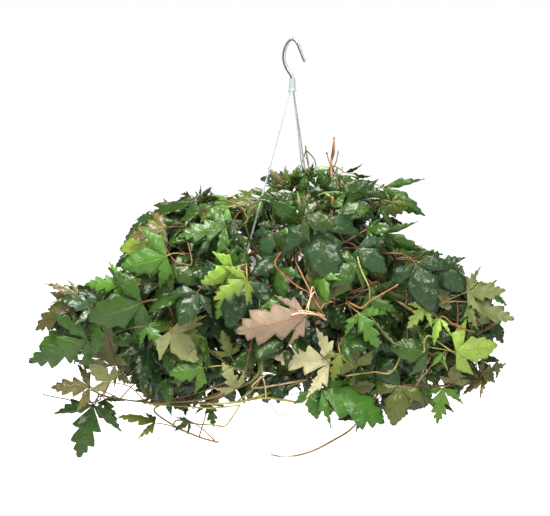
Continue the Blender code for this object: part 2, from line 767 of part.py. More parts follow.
def plain_material(name, colour, roughness, transmission=0.0):
    material = bpy.data.materials.new(name)
    material.use_nodes = True
    shader = material.node_tree.nodes["Principled BSDF"]
    shader.inputs["Base Color"].default_value = (*colour, 1)
    shader.inputs["Roughness"].default_value = roughness
    shader.inputs["Metallic"].default_value = 0
    shader.inputs["Transmission Weight"].default_value = transmission
    return material


def mesh_object(name, mesh, collection, material=None):
    obj = bpy.data.objects.new(name, mesh)
    collection.objects.link(obj)
    if material:
        obj.data.materials.append(material)
    return obj


def turned(name, profile, collection, material, steps=ROUND_STEPS):
    """A turned shape: a profile of (radius, height) points that runs down its outer side."""
    mesh = bpy.data.meshes.new(name)
    edges = [(index, index + 1) for index in range(len(profile) - 1)]
    mesh.from_pydata([(radius, 0, height) for radius, height in profile], edges, [])
    obj = mesh_object(name, mesh, collection, material)
    screw = obj.modifiers.new("turn", "SCREW")
    screw.steps = screw.render_steps = steps
    screw.use_merge_vertices = True
    screw.merge_threshold = MERGE
    return obj


def settle(obj):
    """The object with its modifiers applied, as a plain mesh."""
    bpy.context.view_layer.update()
    graph = bpy.context.evaluated_depsgraph_get()
    mesh = bpy.data.meshes.new_from_object(obj.evaluated_get(graph))
    name, materials = obj.name, [slot.material for slot in obj.material_slots]
    collection, place = obj.users_collection[0], obj.matrix_world.copy()
    bpy.data.objects.remove(obj, do_unlink=True)
    settled = mesh_object(name, mesh, collection)
    settled.matrix_world = place
    if not mesh.materials:
        for material in materials:
            mesh.materials.append(material)
    return settled


def weld(mesh, distance=WELD):
    work = bmesh.new()
    work.from_mesh(mesh)
    bmesh.ops.remove_doubles(work, verts=work.verts, dist=distance)
    bmesh.ops.dissolve_degenerate(work, edges=work.edges, dist=distance)
    bmesh.ops.recalc_face_normals(work, faces=work.faces)
    work.to_mesh(mesh)
    work.free()


def rod(name, route, radii, collection, material, resolution=0):
    """A round rod along a route, thicker or thinner from point to point, as a closed mesh."""
    curve = bpy.data.curves.new(name, "CURVE")
    curve.dimensions = "3D"
    curve.bevel_depth = 1
    curve.bevel_resolution = resolution
    curve.use_fill_caps = True
    line = curve.splines.new("POLY")
    line.points.add(len(route) - 1)
    for point, place, radius in zip(line.points, route, radii):
        point.co = (*place, 1)
        point.radius = radius
    obj = settle(mesh_object(name, curve, collection, material))
    weld(obj.data)
    return obj


def boolean(obj, operation, cutters, solver="EXACT"):
    """Cuts or joins the objects of a collection, applies it and removes them."""
    modifier = obj.modifiers.new(operation.lower(), "BOOLEAN")
    modifier.operation = operation
    modifier.operand_type = "COLLECTION"
    modifier.collection = cutters
    modifier.solver = solver
    done = settle(obj)
    for cutter in list(cutters.objects):
        bpy.data.objects.remove(cutter, do_unlink=True)
    weld(done.data)
    return done


def upright_cylinder(name, place, radius, height, sides, collection):
    mesh = bpy.data.meshes.new(name)
    work = bmesh.new()
    bmesh.ops.create_cone(
        work, cap_ends=True, segments=sides, radius1=radius, radius2=radius, depth=height,
        matrix=Matrix.Translation(place))
    work.to_mesh(mesh)
    work.free()
    obj = mesh_object(name, mesh, collection)
    obj.hide_render = True
    obj.display_type = "WIRE"
    return obj


def clear_hole(radius, sides):
    """The radius of a hole with flat sides that keeps the gap all round a rod."""
    return (radius + SEAT_GAP) / math.cos(math.pi / sides)


def strand_route(azimuth):
    """A strand's line, from its socket in the collar down through the rim's flange."""
    top = polar(azimuth, STRAND_TOP_SPREAD, COLLAR_BOTTOM)
    foot = polar(azimuth, STRAND_HOLE_AT, RIM_HEIGHT + STRAND_FOOT_OVER_RIM)
    down = Vector((0, 0, -1))
    inside = top - down * (STRAND_SOCKET_DEPTH - SEAT_GAP)
    button_top = Vector((foot.x, foot.y, RIM_HEIGHT - FLANGE_THICKNESS - SEAT_GAP))
    return [inside, top, top.lerp(foot, 0.5), foot, button_top - Vector((0, 0, BUTTON_THICKNESS / 2))]


def build_pot(collection, cutters, material):
    """The pot: a tapered wall under a flat rim flange with a short lip, open on top, drained below."""
    inner_rim = RIM_RADIUS - FLANGE_WIDTH
    floor = RIM_HEIGHT - POT_DEPTH
    under = RIM_HEIGHT - FLANGE_THICKNESS
    outer = inner_rim + WALL
    lip = RIM_RADIUS + LIP_BULGE
    profile = (
        (inner_rim, RIM_HEIGHT), (RIM_RADIUS, RIM_HEIGHT), (lip, RIM_HEIGHT - LIP_BULGE),
        (lip, RIM_HEIGHT - LIP_DROP), (LIP_INSIDE, RIM_HEIGHT - LIP_DROP),
        (LIP_INSIDE, under), (outer, under), (POT_BASE_RADIUS + WALL, floor + 2 * POT_FOOT_ROUND),
        (POT_BASE_RADIUS - POT_FOOT_ROUND, floor), (0, floor), (0, floor + WALL),
        (POT_BASE_RADIUS - POT_FLOOR_IN, floor + WALL),
    )
    pot = settle(turned("pot", profile + (profile[0],), collection, material))
    for azimuth in STRAND_AZIMUTHS:
        foot = polar(azimuth, STRAND_HOLE_AT, RIM_HEIGHT)
        radius = clear_hole(STRAND_FOOT_RADIUS, STRAND_HOLE_SIDES)
        upright_cylinder("strand_hole", foot, radius, FLANGE_THICKNESS * 5, STRAND_HOLE_SIDES, cutters)
    for hole in range(DRAIN_HOLES):
        place = polar(45 + hole * 360 / DRAIN_HOLES, POT_BASE_RADIUS * 0.6, floor)
        upright_cylinder("drain_hole", place, DRAIN_HOLE_RADIUS, WALL * 6, DRAIN_HOLE_SIDES, cutters)
    weld(pot.data, MERGE)
    return boolean(pot, "DIFFERENCE", cutters)


def build_soil(collection, cutters, material, roots):
    """The soil that fills the pot, with a plain hole for each stem."""
    inner_rim = RIM_RADIUS - FLANGE_WIDTH
    floor = RIM_HEIGHT - POT_DEPTH + WALL + SEAT_GAP
    top = RIM_HEIGHT - SOIL_BELOW_RIM
    slope = (inner_rim - POT_BASE_RADIUS + POT_FLOOR_IN) / (POT_DEPTH - WALL)
    top_radius = inner_rim - slope * SOIL_BELOW_RIM - 2 * SEAT_GAP
    foot_radius = POT_BASE_RADIUS - POT_FLOOR_IN - 2 * SEAT_GAP
    edge_in, edge_down = SOIL_EDGE
    profile = (
        (0, top), (top_radius - edge_in, top), (top_radius, top - edge_down), (foot_radius, floor), (0, floor),
    )
    soil = settle(turned("soil", profile, collection, material))
    weld(soil.data, MERGE)
    hole_bottom = top - STEM_SINK - 2 * SEAT_GAP
    cutter_top = top + STEM_RISE / 2
    height = cutter_top - hole_bottom
    for root in roots:
        place = Vector((root.x, root.y, hole_bottom + height / 2))
        upright_cylinder("stem_hole", place, clear_hole(STEM_RADIUS, HOLE_SIDES), height, HOLE_SIDES, cutters)
    return boolean(soil, "DIFFERENCE", cutters)


def build_hook(collection, cutters, material):
    """The moulded hook on its tapered collar, with a socket for each strand."""
    bend = smooth_route([Vector((x, 0, z)) for x, z in HOOK_BEND], 2)
    radii = [HOOK_ROD_RADIUS * (1 - HOOK_THINNING * index / len(bend)) for index in range(len(bend))]
    shank = rod("hanger_hook_bend", bend, radii, cutters, None, 1)
    flare_start, flare_end = (COLLAR_BOTTOM + height for height in COLLAR_FLARE_HEIGHTS)
    profile = (
        (0, COLLAR_TOP), (COLLAR_TOP_RADIUS, COLLAR_TOP), (COLLAR_BOTTOM_RADIUS - COLLAR_FLARE, flare_start),
        (COLLAR_BOTTOM_RADIUS, flare_end), (COLLAR_BOTTOM_RADIUS, COLLAR_BOTTOM), (0, COLLAR_BOTTOM),
    )
    collar = settle(turned("hanger_hook", profile, collection, material, COLLAR_SIDES))
    weld(collar.data, MERGE)
    joined = boolean(collar, "UNION", cutters)
    socket_top = COLLAR_BOTTOM + STRAND_SOCKET_DEPTH + SEAT_GAP
    cutter_bottom = COLLAR_BOTTOM - COLLAR_FLARE
    height = socket_top - cutter_bottom
    radius = clear_hole(STRAND_TOP_RADIUS, STRAND_HOLE_SIDES)
    for azimuth in STRAND_AZIMUTHS:
        place = polar(azimuth, STRAND_TOP_SPREAD, cutter_bottom + height / 2)
        upright_cylinder("socket", place, radius, height, STRAND_HOLE_SIDES, cutters)
    return boolean(joined, "DIFFERENCE", cutters)


def build_strand(order, azimuth, collection, cutters, material):
    """A strand with the button foot that holds it under the rim's flange."""
    route = strand_route(azimuth)
    middle = STRAND_TOP_RADIUS * STRAND_MIDDLE
    radii = [STRAND_TOP_RADIUS, STRAND_TOP_RADIUS, middle, STRAND_FOOT_RADIUS, STRAND_FOOT_RADIUS]
    strand = rod(f"hanger_strand_{order}", route, radii, collection, material, 1)
    button = upright_cylinder("button", route[-1], BUTTON_RADIUS, BUTTON_THICKNESS, BUTTON_SIDES, cutters)
    button.hide_render = False
    return boolean(strand, "UNION", cutters)


def build_leafy_stem(name, route, blades, collection, joined, material):
    """A stem with its leaves fused to it by their petioles, whose roots are sunk to its middle. The
    leaves of one stem cross its rings at every angle, where EXACT leaves edges open."""
    radii = [STEM_RADIUS * (1 - STEM_TAPER * index / len(route)) for index in range(len(route))]
    stem = rod(name, route, radii, collection, material)
    for number, blade in enumerate(blades):
        mesh = bpy.data.meshes.new(f"{name}_leaf_{number}")
        mesh.from_pydata(blade.points, [], blade.faces)
        leaf = mesh_object(mesh.name, mesh, joined)
        shell = leaf.modifiers.new("thickness", "SOLIDIFY")
        shell.thickness = BLADE
        shell.offset = 0
        settle(leaf)
    return boolean(stem, "UNION", joined, "MANIFOLD")


def main():
    clear_scene()
    parts = new_collection("grape_ivy_in_hanging_basket")
    cutters = new_collection("cutters")
    white = plain_material("white_plastic", (0.83, 0.83, 0.84), 0.35)
    clear = plain_material("clear_grey_plastic", (0.74, 0.76, 0.78), 0.2, 0.4)
    earth = plain_material("potting_soil", (0.035, 0.024, 0.017), 0.95)
    dark_green = plain_material("dark_green_leaf", (0.035, 0.110, 0.040), 0.35)
    mid_green = plain_material("mid_green_leaf", (0.080, 0.200, 0.035), 0.45)
    olive = plain_material("olive_leaf", (0.150, 0.190, 0.040), 0.5)
    greens = {name: mid_green for name in MID_GREEN_STEMS} | {name: olive for name in OLIVE_STEMS}
    plan = lay_out_foliage()
    build_pot(parts, cutters, white)
    build_soil(parts, cutters, earth, [route[0] for route in plan.routes.values()])
    build_hook(parts, cutters, clear)
    for order, azimuth in enumerate(STRAND_AZIMUTHS, 1):
        build_strand(order, azimuth, parts, cutters, white)
    for name, route in plan.routes.items():
        green = greens.get(name, dark_green)
        build_leafy_stem(f"leafy_stem_{name}", route, plan.blades[name], parts, cutters, green)
    for obj in parts.objects:
        obj.data.shade_smooth()
        obj.data.set_sharp_from_angle(angle=math.radians(35))
    print("stems", len(plan.routes), "leaves", sum(map(len, plan.blades.values())), "dropped", plan.dropped)
    print("triangles", sum(len(p.vertices) - 2 for o in parts.objects for p in o.data.polygons))


main()
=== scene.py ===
"""Grape ivy in a small white hanging basket: the looks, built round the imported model.

Metres, +Z up. The origin is the top of the hook's inside, +X is to the right and -Y comes towards
whoever looks at the front. The foliage is laid out by the same rules as the model's own stems, and each
leafy stem of the model is replaced by a finer one on the same route, with its leaves in the same places.
More leaves, placed by rule on the same stems, fill the bush behind them.
"""

from __future__ import annotations

import logging
import math
import random
from dataclasses import dataclass
from enum import Enum
from itertools import product
from typing import Callable, Iterable, NamedTuple, Optional, Sequence

import bpy
import numpy as np
from bpy.types import Material, NodeSocket, Object
from mathutils import Matrix, Vector
from mathutils.bvhtree import BVHTree

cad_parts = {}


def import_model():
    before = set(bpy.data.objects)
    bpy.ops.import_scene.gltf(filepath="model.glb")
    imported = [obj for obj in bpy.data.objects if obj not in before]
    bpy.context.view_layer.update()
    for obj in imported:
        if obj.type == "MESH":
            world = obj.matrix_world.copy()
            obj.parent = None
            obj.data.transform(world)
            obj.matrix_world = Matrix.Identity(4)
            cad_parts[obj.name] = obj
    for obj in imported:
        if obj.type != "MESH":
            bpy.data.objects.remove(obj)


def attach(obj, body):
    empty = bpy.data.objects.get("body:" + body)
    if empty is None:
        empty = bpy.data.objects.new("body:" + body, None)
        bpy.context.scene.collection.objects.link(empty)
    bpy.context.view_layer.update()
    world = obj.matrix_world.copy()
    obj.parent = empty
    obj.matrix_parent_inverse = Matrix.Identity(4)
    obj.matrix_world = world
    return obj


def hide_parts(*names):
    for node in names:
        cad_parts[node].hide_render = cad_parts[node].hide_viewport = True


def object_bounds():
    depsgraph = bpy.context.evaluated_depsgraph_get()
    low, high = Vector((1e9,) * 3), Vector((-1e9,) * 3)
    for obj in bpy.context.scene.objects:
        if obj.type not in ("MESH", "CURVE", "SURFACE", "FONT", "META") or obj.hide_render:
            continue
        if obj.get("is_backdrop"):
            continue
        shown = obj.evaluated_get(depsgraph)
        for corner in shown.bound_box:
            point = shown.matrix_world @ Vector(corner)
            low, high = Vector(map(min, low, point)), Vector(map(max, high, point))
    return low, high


LOG = logging.getLogger("grape_ivy")
BODY = "root"

# Sizes of the basket and rules of the foliage, the same as the model's
SEAT_GAP = 0.0003
RIM_HEIGHT = -0.330
RIM_RADIUS = 0.075
FLANGE_WIDTH = 0.0095
FLANGE_THICKNESS = 0.0016
LIP_DROP = 0.0070
WALL = 0.0016
POT_DEPTH = 0.116
POT_BASE_RADIUS = 0.049
DRAIN_HOLES = 4
DRAIN_HOLE_RADIUS = 0.0045
SOIL_BELOW_RIM = 0.012
FLOOR_MIDDLE = 0.004
ROUND_STEPS = 24
HOOK_ROD_RADIUS = 0.0031
COLLAR_TOP = -0.0545
COLLAR_BOTTOM = -0.0735
COLLAR_TOP_RADIUS = 0.0042
COLLAR_BOTTOM_RADIUS = 0.0062
STRAND_AZIMUTHS = (184, 304, 64)
STRAND_TOP_SPREAD = 0.0033
STRAND_TOP_RADIUS = 0.0010
STRAND_FOOT_RADIUS = 0.0017
STRAND_FOOT_OVER_RIM = 0.004
STRAND_SOCKET_DEPTH = 0.006
LIP_INSIDE = RIM_RADIUS - 0.0006
STRAND_HOLE_AT = (LIP_INSIDE * math.cos(math.pi / ROUND_STEPS) + RIM_RADIUS - FLANGE_WIDTH + WALL) / 2
BUTTON_RADIUS = 0.0030
BUTTON_THICKNESS = 0.0018
HOOK_BEND = (
    (0.0006, -0.0560), (-0.0020, -0.0490), (-0.0085, -0.0385), (-0.0122, -0.0270), (-0.0118, -0.0150),
    (-0.0072, -0.0030), (0.0000, 0.0033), (0.0068, -0.0020), (0.0110, -0.0115), (0.0150, -0.0215),
    (0.0186, -0.0300),
)
STEM_RADIUS = 0.0024
STEM_SINK = 0.014
STEM_RISE = 0.012
BLADE = 0.0008
HUB = 0.0012
PETIOLE_END = 0.0009
PETIOLE = 0.030
ARCH_OUT = 0.010
CLEARANCE = 0.0007
LARGE_LEAFLET = 0.084
MIDDLE_LEAFLET = 0.056
INNER_SHARE = 0.45
STRAIGHT_ENOUGH = math.radians(16)
MOST_SIDEWAYS = 0.80
LEAST_BACKWARD = 0.02
EDGE_ON = 0.70
SELF_TEST = 0.0012
FROM_AXIS = 0.70
FROM_BEHIND = 0.60
FROM_UNDER = 0.25
FROM_BELOW = 0.15
KNEE = 0.009
KNEE_BACK = 0.45 * KNEE
ROOT_STEP = 6
HEADING_STEP = 5
ARCH_STEP = 0.006
DEPTH_STEP = 0.008
ANCHOR_TRIES = 5
SIZES_TRIED = (1, 0.85, 0.7)
SLIDES_TRIED = sorted(range(-10, 11), key=abs)
SLIDE_STEP = 0.008
MORE_SLIDES = 7
TURNS_TRIED = (0, 14, -14, 28, -28)
OVER_RIM = 0.005
UNDER_BASE = 0.010
ROUND_WALL = 0.004
INSIDE_RIM = 0.014
BACK_SEED = 700
BACK_START = 0.085
BACK_SWING = (0.6, 1.2)
BACK_TURN = 16
BACK_OVER_ARCH = 0.018
BACK_FALL_POWER = 1.5
BACK_UNEVEN = 0.006
BACK_SWAY = 28
BACK_OUTWARD = (0.75, 1.0)
BACK_DOWNWARD = (0.25, 0.85)
BACK_LENGTHS = (0.058, 0.088)
BACK_FACING_OUT = 0.55
BACK_ROLL = 25
NEXT_GOAL = 0.014

# The view that the front was read from, in pixels of a picture 550 wide and 516 high
PICTURE_WIDTH = 550
PIXEL = 0.0015
PHOTO_CENTRE = (275, 258)
VIEW_DISTANCE = 2.6
VIEW_ELEVATION = math.radians(12)
VIEW_TARGET = Vector((-0.0255, 0, -0.324))
BUSH_CENTRE = (282, 318)
BUSH_HALF = (262, 150)
BUSH_DEPTH = 0.185
LAYER = 0.032


class Tint(Enum):
    """The colours that the plant's leaves have, as linear red, green and blue. The bright and the lime
    green are partly the leaves' own light greens and partly painted light: the glow of backlit leaves at
    the sides.
    """

    BLUE_DARK = (0.017, 0.046, 0.015)
    DARK = (0.022, 0.056, 0.008)
    MID = (0.032, 0.088, 0.012)
    BRIGHT = (0.054, 0.145, 0.014)
    LIME = (0.170, 0.280, 0.035)
    OLIVE = (0.078, 0.105, 0.018)
    GREY_OLIVE = (0.200, 0.210, 0.090)
    BRONZE = (0.095, 0.085, 0.025)
    PALE = (0.660, 0.610, 0.370)
    DRY = (0.200, 0.142, 0.086)


BLUE_DARK, DARK, MID, BRIGHT, LIME, OLIVE, GREY_OLIVE, BRONZE, PALE, DRY = Tint


class Form(NamedTuple):
    """A leaf's form. A vein is (its root along the midrib, its length), as shares of the leaflet;
    the veins to lobe tips and those to the notches between them take turns, a lobe first."""

    veins: tuple
    side_veins: tuple
    sweep: float
    spread: float
    side_length: float
    side_drop: float
    arch: float
    cup: float


BROAD = Form(
    ((0.14, 0.44), (0.32, 0.31), (0.50, 0.32)),
    ((0.22, 0.42), (0.52, 0.22)),
    50, 62, 0.78, 14, 0.09, 0.16,
)
OAK = Form(
    ((0.14, 0.38), (0.32, 0.15), (0.50, 0.30)),
    ((0.20, 0.42), (0.46, 0.16)),
    44, 60, 0.72, 12, 0.07, 0.10,
)
YOUNG = Form(
    ((0.20, 0.27), (0.38, 0.19), (0.54, 0.20)),
    ((0.28, 0.26), (0.60, 0.14)),
    42, 46, 0.80, 6, 0.10, 0.30,
)
LOBED = Form(
    ((0.16, 0.36), (0.34, 0.20), (0.52, 0.32)),
    ((0.30, 0.34), (0.56, 0.12)),
    48, 46, 0.52, 16, 0.08, 0.12,
)


class Leaf(NamedTuple):
    """One leaf as the front shows it: where its three leaflets join, where the middle one ends, how
    many layers in it lies, how much nearer its tip is (mm), its turn about its midrib (degrees)
    and its colour."""

    joint: tuple
    tip: tuple
    form: Form = BROAD
    layer: float = 0
    lean: float = 15
    roll: float = 0
    tint: Tint = MID


class Stem(NamedTuple):
    """A leafy stem: where it roots (degrees round the pot, mm from its axis), the height in mm over
    the rim where it arches across, its leaves in order, and points its route shows, if it does."""

    name: str
    root: tuple
    arch: float
    leaves: tuple
    route: tuple = ()
    route_layer: float = 0


FRONT_STEMS = (
    Stem("high_left", (150, 30), 62, (
        Leaf((253, 200), (222, 206), OAK, 3, 5, 35, OLIVE),
        Leaf((228, 207), (191, 213), BROAD, 2, 10, 35, BRIGHT),
        Leaf((196, 201), (149, 213), BROAD, 1, 5, 55, DARK),
        Leaf((165, 228), (128, 236), OAK, 0, 0, 15, BRONZE),
    )),
    Stem("bright_left", (204, 36), 36, (
        Leaf((234, 220), (234, 241), OAK, 1, 12, 0, BLUE_DARK),
        Leaf((226, 226), (178, 236), OAK, 1, 10, 30),
        Leaf((165, 243), (119, 247), BROAD, 1, 0, 20, LIME),
        Leaf((166, 256), (121, 268), BROAD, 0, 0, -10, BRIGHT),
    )),
    Stem("dark_left", (226, 52), 24, (
        Leaf((241, 268), (226, 248), OAK, 1, 10, 10),
        Leaf((233, 268), (202, 284), BROAD, 0, 15, -40, LIME),
        Leaf((197, 293), (180, 325), BROAD, 0, 20, 0, BLUE_DARK),
        Leaf((172, 268), (200, 283), BROAD, 1, 10, 20, DARK),
        Leaf((168, 280), (110, 289), BROAD, 1, 0, 35, DARK),
        Leaf((121, 284), (85, 284), OAK, 0, 0, 0, BRIGHT),
    )),
    Stem("reach_left", (186, 20), 16, (
        Leaf((174, 329), (148, 317), BROAD, 1, 5, 20, LIME),
        Leaf((142, 302), (87, 321), BROAD, 0, 0, 10, DARK),
        Leaf((93, 307), (60, 297), BROAD, 0, 0, 40, BLUE_DARK),
        Leaf((72, 306), (33, 329), OAK, 0, 0, 20, BRONZE),
        Leaf((78, 296), (45, 283), YOUNG, 0, -10, 62, BRONZE),
    )),
    Stem("oak_left", (206, 56), 14, (
        Leaf((147, 326), (166, 349), OAK),
        Leaf((137, 337), (113, 342), BROAD, 1, 0, 0, DARK),
        Leaf((111, 366), (98, 323), BROAD, 1, 0, 160, GREY_OLIVE),
        Leaf((88, 339), (28, 365), OAK, 0, 0),
        Leaf((81, 331), (39, 344), OAK, 1, -10, 20, BRIGHT),
    )),
    Stem("low_left", (243, 36), 20, (
        Leaf((203, 368), (169, 374), BROAD, 0, 5, 0, BRIGHT),
        Leaf((150, 399), (141, 386), OAK, 1, 5, 10, OLIVE),
        Leaf((116, 374), (131, 384), OAK, 1, 5, 170, OLIVE),
        Leaf((110, 382), (90, 364), BROAD, 0, 0, 165, GREY_OLIVE),
        Leaf((105, 399), (115, 423), OAK, 1, 10, 0, DARK),
        Leaf((93, 405), (78, 459), OAK, 0, 15, 0, DARK),
        Leaf((90, 387), (51, 387), OAK, 0, 0, 10, BRONZE),
    ), (
        (250, 350), (240, 385), (215, 400), (190, 403), (165, 402), (145, 402), (120, 399), (102, 395),
        (92, 390),
    ), 1),
    Stem("low_left_bud", (264, 30), 16, (
        Leaf((236, 389), (224, 364), OAK, 0, 10, 0, GREY_OLIVE),
        Leaf((170, 400), (188, 408), BROAD, 1, 5, 0, BLUE_DARK),
        Leaf((209, 402), (214, 427), OAK, 1, 10, 0, DARK),
        Leaf((155, 423), (118, 415), OAK, 0, 0, 55, OLIVE),
        Leaf((190, 421), (174, 431), YOUNG, 0, 5, 0, DARK),
    ), (
        (262, 360), (246, 384), (215, 397), (190, 401), (166, 403), (154, 410), (165, 420), (182, 430),
        (199, 437), (216, 442),
    ), 0),
    Stem("centre_left", (240, 56), 14, (
        Leaf((248, 280), (226, 326), BROAD, 1, 25, 0, BLUE_DARK),
        Leaf((180, 326), (209, 351), OAK, 1, 5, 20, OLIVE),
        Leaf((170, 331), (196, 362), BROAD, 0, 5, 172, GREY_OLIVE),
        Leaf((230, 355), (222, 331), OAK, 1, 5, 0, OLIVE),
        Leaf((210, 316), (234, 345), BROAD, 2, 10, 0, BLUE_DARK),
    )),
    Stem("upright", (100, 12), 88, (
        Leaf((299, 223), (273, 202), BROAD, 2, 5, 0, DARK),
        Leaf((291, 192), (262, 196), BROAD, 3.8, 5, 30),
        Leaf((285, 186), (268, 168), YOUNG, 3.5, 0, 0, BRONZE),
        Leaf((290, 184), (299, 165), YOUNG, 3, 5, 0, OLIVE),
    ), ((300, 240), (301, 212), (306, 193), (309, 172), (306, 150)), 2.6),
    Stem("crown", (262, 20), 56, (
        Leaf((296, 234), (282, 258), BROAD, 1, 10),
        Leaf((301, 208), (313, 191), YOUNG, 1, 0, 25, GREY_OLIVE),
        Leaf((304, 217), (335, 226), BROAD, 1, 10, 25, DARK),
        Leaf((316, 222), (331, 283), BROAD, -0.3, 35, 0, BLUE_DARK),
        Leaf((272, 232), (262, 260), BROAD, 1, 5, 0, BLUE_DARK),
    ), ((288, 246), (297, 230), (307, 216), (311, 201)), 1.6),
    Stem("budded", (20, 22), 80, (
        Leaf((336, 214), (369, 208), BROAD, 1, 5, -15),
        Leaf((336, 200), (371, 183), BROAD, 2, 5, 10, DARK),
        Leaf((345, 173), (371, 178), YOUNG, 3, 0, 55, DARK),
        Leaf((329, 190), (308, 193), BROAD, 3, 5, 10, DARK),
    ), ((334, 230), (332, 212), (333, 190), (331, 165), (334, 140)), 2.2),
    Stem("high_right", (356, 42), 55, (
        Leaf((384, 187), (425, 217), YOUNG, 2, 5, 10),
        Leaf((391, 202), (411, 205), YOUNG, 1, 5, 10, OLIVE),
        Leaf((381, 206), (388, 221), YOUNG, 1.2, 5),
    )),
    Stem("arched_right", (330, 30), 40, (
        Leaf((358, 248), (386, 272), BROAD, 0, 15, 0, BLUE_DARK),
        Leaf((385, 233), (424, 252), YOUNG, 1, 5, 25, DARK),
        Leaf((381, 246), (405, 243), OAK, 2, 0, 30, BRIGHT),
    )),
    Stem("dark_right", (345, 56), 24, (
        Leaf((415, 263), (432, 312), BROAD, 0, 20, 0, BLUE_DARK),
        Leaf((413, 258), (434, 259), OAK, 2, 0, 40, OLIVE),
        Leaf((438, 268), (464, 293), BROAD, 0, 5, 10, BLUE_DARK),
        Leaf((436, 286), (448, 310), BROAD, 1, 10, 170, GREY_OLIVE),
    )),
    Stem("oak_right", (324, 48), 18, (
        Leaf((425, 308), (407, 328), OAK, 0, 10, 165, LIME),
        Leaf((440, 318), (433, 345), YOUNG, 0, 10, 20, LIME),
        Leaf((457, 321), (470, 320), BROAD, 1, 5, 0, DARK),
        Leaf((467, 292), (505, 291), OAK, 0, 0, 170, OLIVE),
        Leaf((470, 327), (494, 314), OAK, 1, 0, 170, GREY_OLIVE),
        Leaf((469, 302), (514, 321), OAK, 0, 10, 165, OLIVE),
    ), ((405, 306), (425, 312), (438, 318), (457, 327), (472, 332), (484, 329), (498, 321)), 0.6),
    Stem("front_right", (292, 52), 30, (
        Leaf((357, 262), (331, 286)),
        Leaf((333, 298), (309, 259), BROAD, 1, 5, 165, OLIVE),
        Leaf((396, 286), (418, 300), BROAD, 1, 5, 20, OLIVE),
        Leaf((366, 297), (396, 311), OAK, 1, 5),
        Leaf((359, 313), (378, 348), OAK, 0, 15, 0, BRIGHT),
        Leaf((372, 330), (399, 352), BROAD, 1.6, 10, 0, DARK),
    )),
    Stem("centre_low", (284, 54), 16, (
        Leaf((306, 315), (236, 332), LOBED, 0, 5, 0, DRY),
        Leaf((265, 355), (276, 374), OAK, 1, 10),
        Leaf((330, 363), (274, 356), OAK, 0.3, 5, 170, PALE),
        Leaf((340, 354), (332, 381), OAK, 0, 10, 10, OLIVE),
        Leaf((356, 367), (342, 337), BROAD, 1, 5, 170, OLIVE),
    )),
    Stem("bottom", (276, 24), 26, (
        Leaf((312, 391), (317, 419), BROAD, 0, 10),
        Leaf((321, 390), (386, 421), LOBED, 0, 5, -20),
        Leaf((352, 390), (375, 384), BROAD, 1, 5, 165, OLIVE),
        Leaf((362, 414), (338, 418), BROAD, 1, 0, 60, DARK),
        Leaf((400, 386), (393, 426), BROAD, 0, 10, 0, OLIVE),
    )),
    Stem("low_right", (315, 56), 14, (
        Leaf((428, 352), (391, 347), BROAD, 0, 10, 0, DARK),
        Leaf((443, 353), (432, 366), YOUNG, 0, 5, 0, BRIGHT),
        Leaf((456, 352), (498, 346), BROAD, 0, 0, 0, LIME),
        Leaf((453, 383), (457, 363), BROAD, 0, 5, 160, BRONZE),
        Leaf((443, 388), (437, 424), OAK, 0, 10, 0, BRIGHT),
        Leaf((484, 380), (461, 394), YOUNG, 0, 5, 50, BRONZE),
        Leaf((482, 373), (506, 364), OAK, 0, 0, 160, BRONZE),
    ), ((385, 335), (420, 349), (442, 361), (449, 374), (452, 384), (466, 383), (478, 379)), 0.5),
)
MID_GREEN_STEMS = (
    "high_left", "bright_left", "low_left_bud", "centre_left", "upright", "centre_low", "low_right",
)
OLIVE_STEMS = ("oak_left", "oak_right", "low_left", "high_right")

# The back and the sides: (direction in degrees, arch over the rim in mm, reach in mm, fall in mm)
BACK_STEMS = (
    (168, 46, 210, 40), (156, 18, 285, 130), (138, 44, 225, 70), (118, 16, 265, 150), (98, 48, 205, 60),
    (78, 18, 255, 145), (58, 44, 215, 66), (38, 16, 262, 145), (14, 42, 240, 90),
)
BACK_LEAVES = 4
BACK_ROOTS = (54, 32)
BACK_LAYER = 9

# The colours of leaves that are placed by rule, each as often as it stands here
INNER_TINTS = (DARK, DARK, DARK, BLUE_DARK, BLUE_DARK, BLUE_DARK, MID, MID, MID, OLIVE, BRIGHT)

# Leaves of the front that only this scene has
MORE_LEAVES = (
    Leaf((201, 198), (212, 187), YOUNG, 1.5, 0, 0, DARK),
    Leaf((203, 198), (226, 200), BROAD, 1.5, 0, 30, DARK),
    Leaf((188, 222), (166, 214), BROAD, 2, 0, 20, OLIVE),
    Leaf((186, 226), (168, 236), BROAD, 2.2, 0, 0, DARK),
    Leaf((247, 279), (214, 300), OAK, 0.3, 10, 15, LIME),
    Leaf((308, 176), (300, 192), BROAD, 0.4, 5),
    Leaf((310, 178), (313, 163), YOUNG, 0.4, 5, 0, DARK),
    Leaf((331, 192), (319, 173), BROAD, 2.6, 5, 0, DARK),
    Leaf((366, 192), (387, 198), BROAD, 1.6, 5, 20, DARK),
)

# The edge of the part of the picture where no background shows through the bush
FILL_EDGE = (
    (32, 330), (47, 303), (64, 284), (86, 280), (108, 277), (120, 258), (122, 236), (135, 210),
    (166, 198), (200, 186), (226, 194), (250, 190), (268, 168), (300, 164), (345, 166), (371, 178),
    (398, 190), (420, 208), (414, 222), (395, 226), (404, 238), (430, 246), (460, 262), (476, 276),
    (506, 292), (512, 322), (503, 350), (500, 384), (462, 388), (455, 416), (428, 410), (386, 422),
    (338, 416), (300, 408), (262, 402), (225, 412), (170, 416), (140, 396), (104, 358), (72, 350),
    (30, 362),
)

# The rows over which the left strand shows in front of the foliage
STRAND_SHOWS = (150, 250)


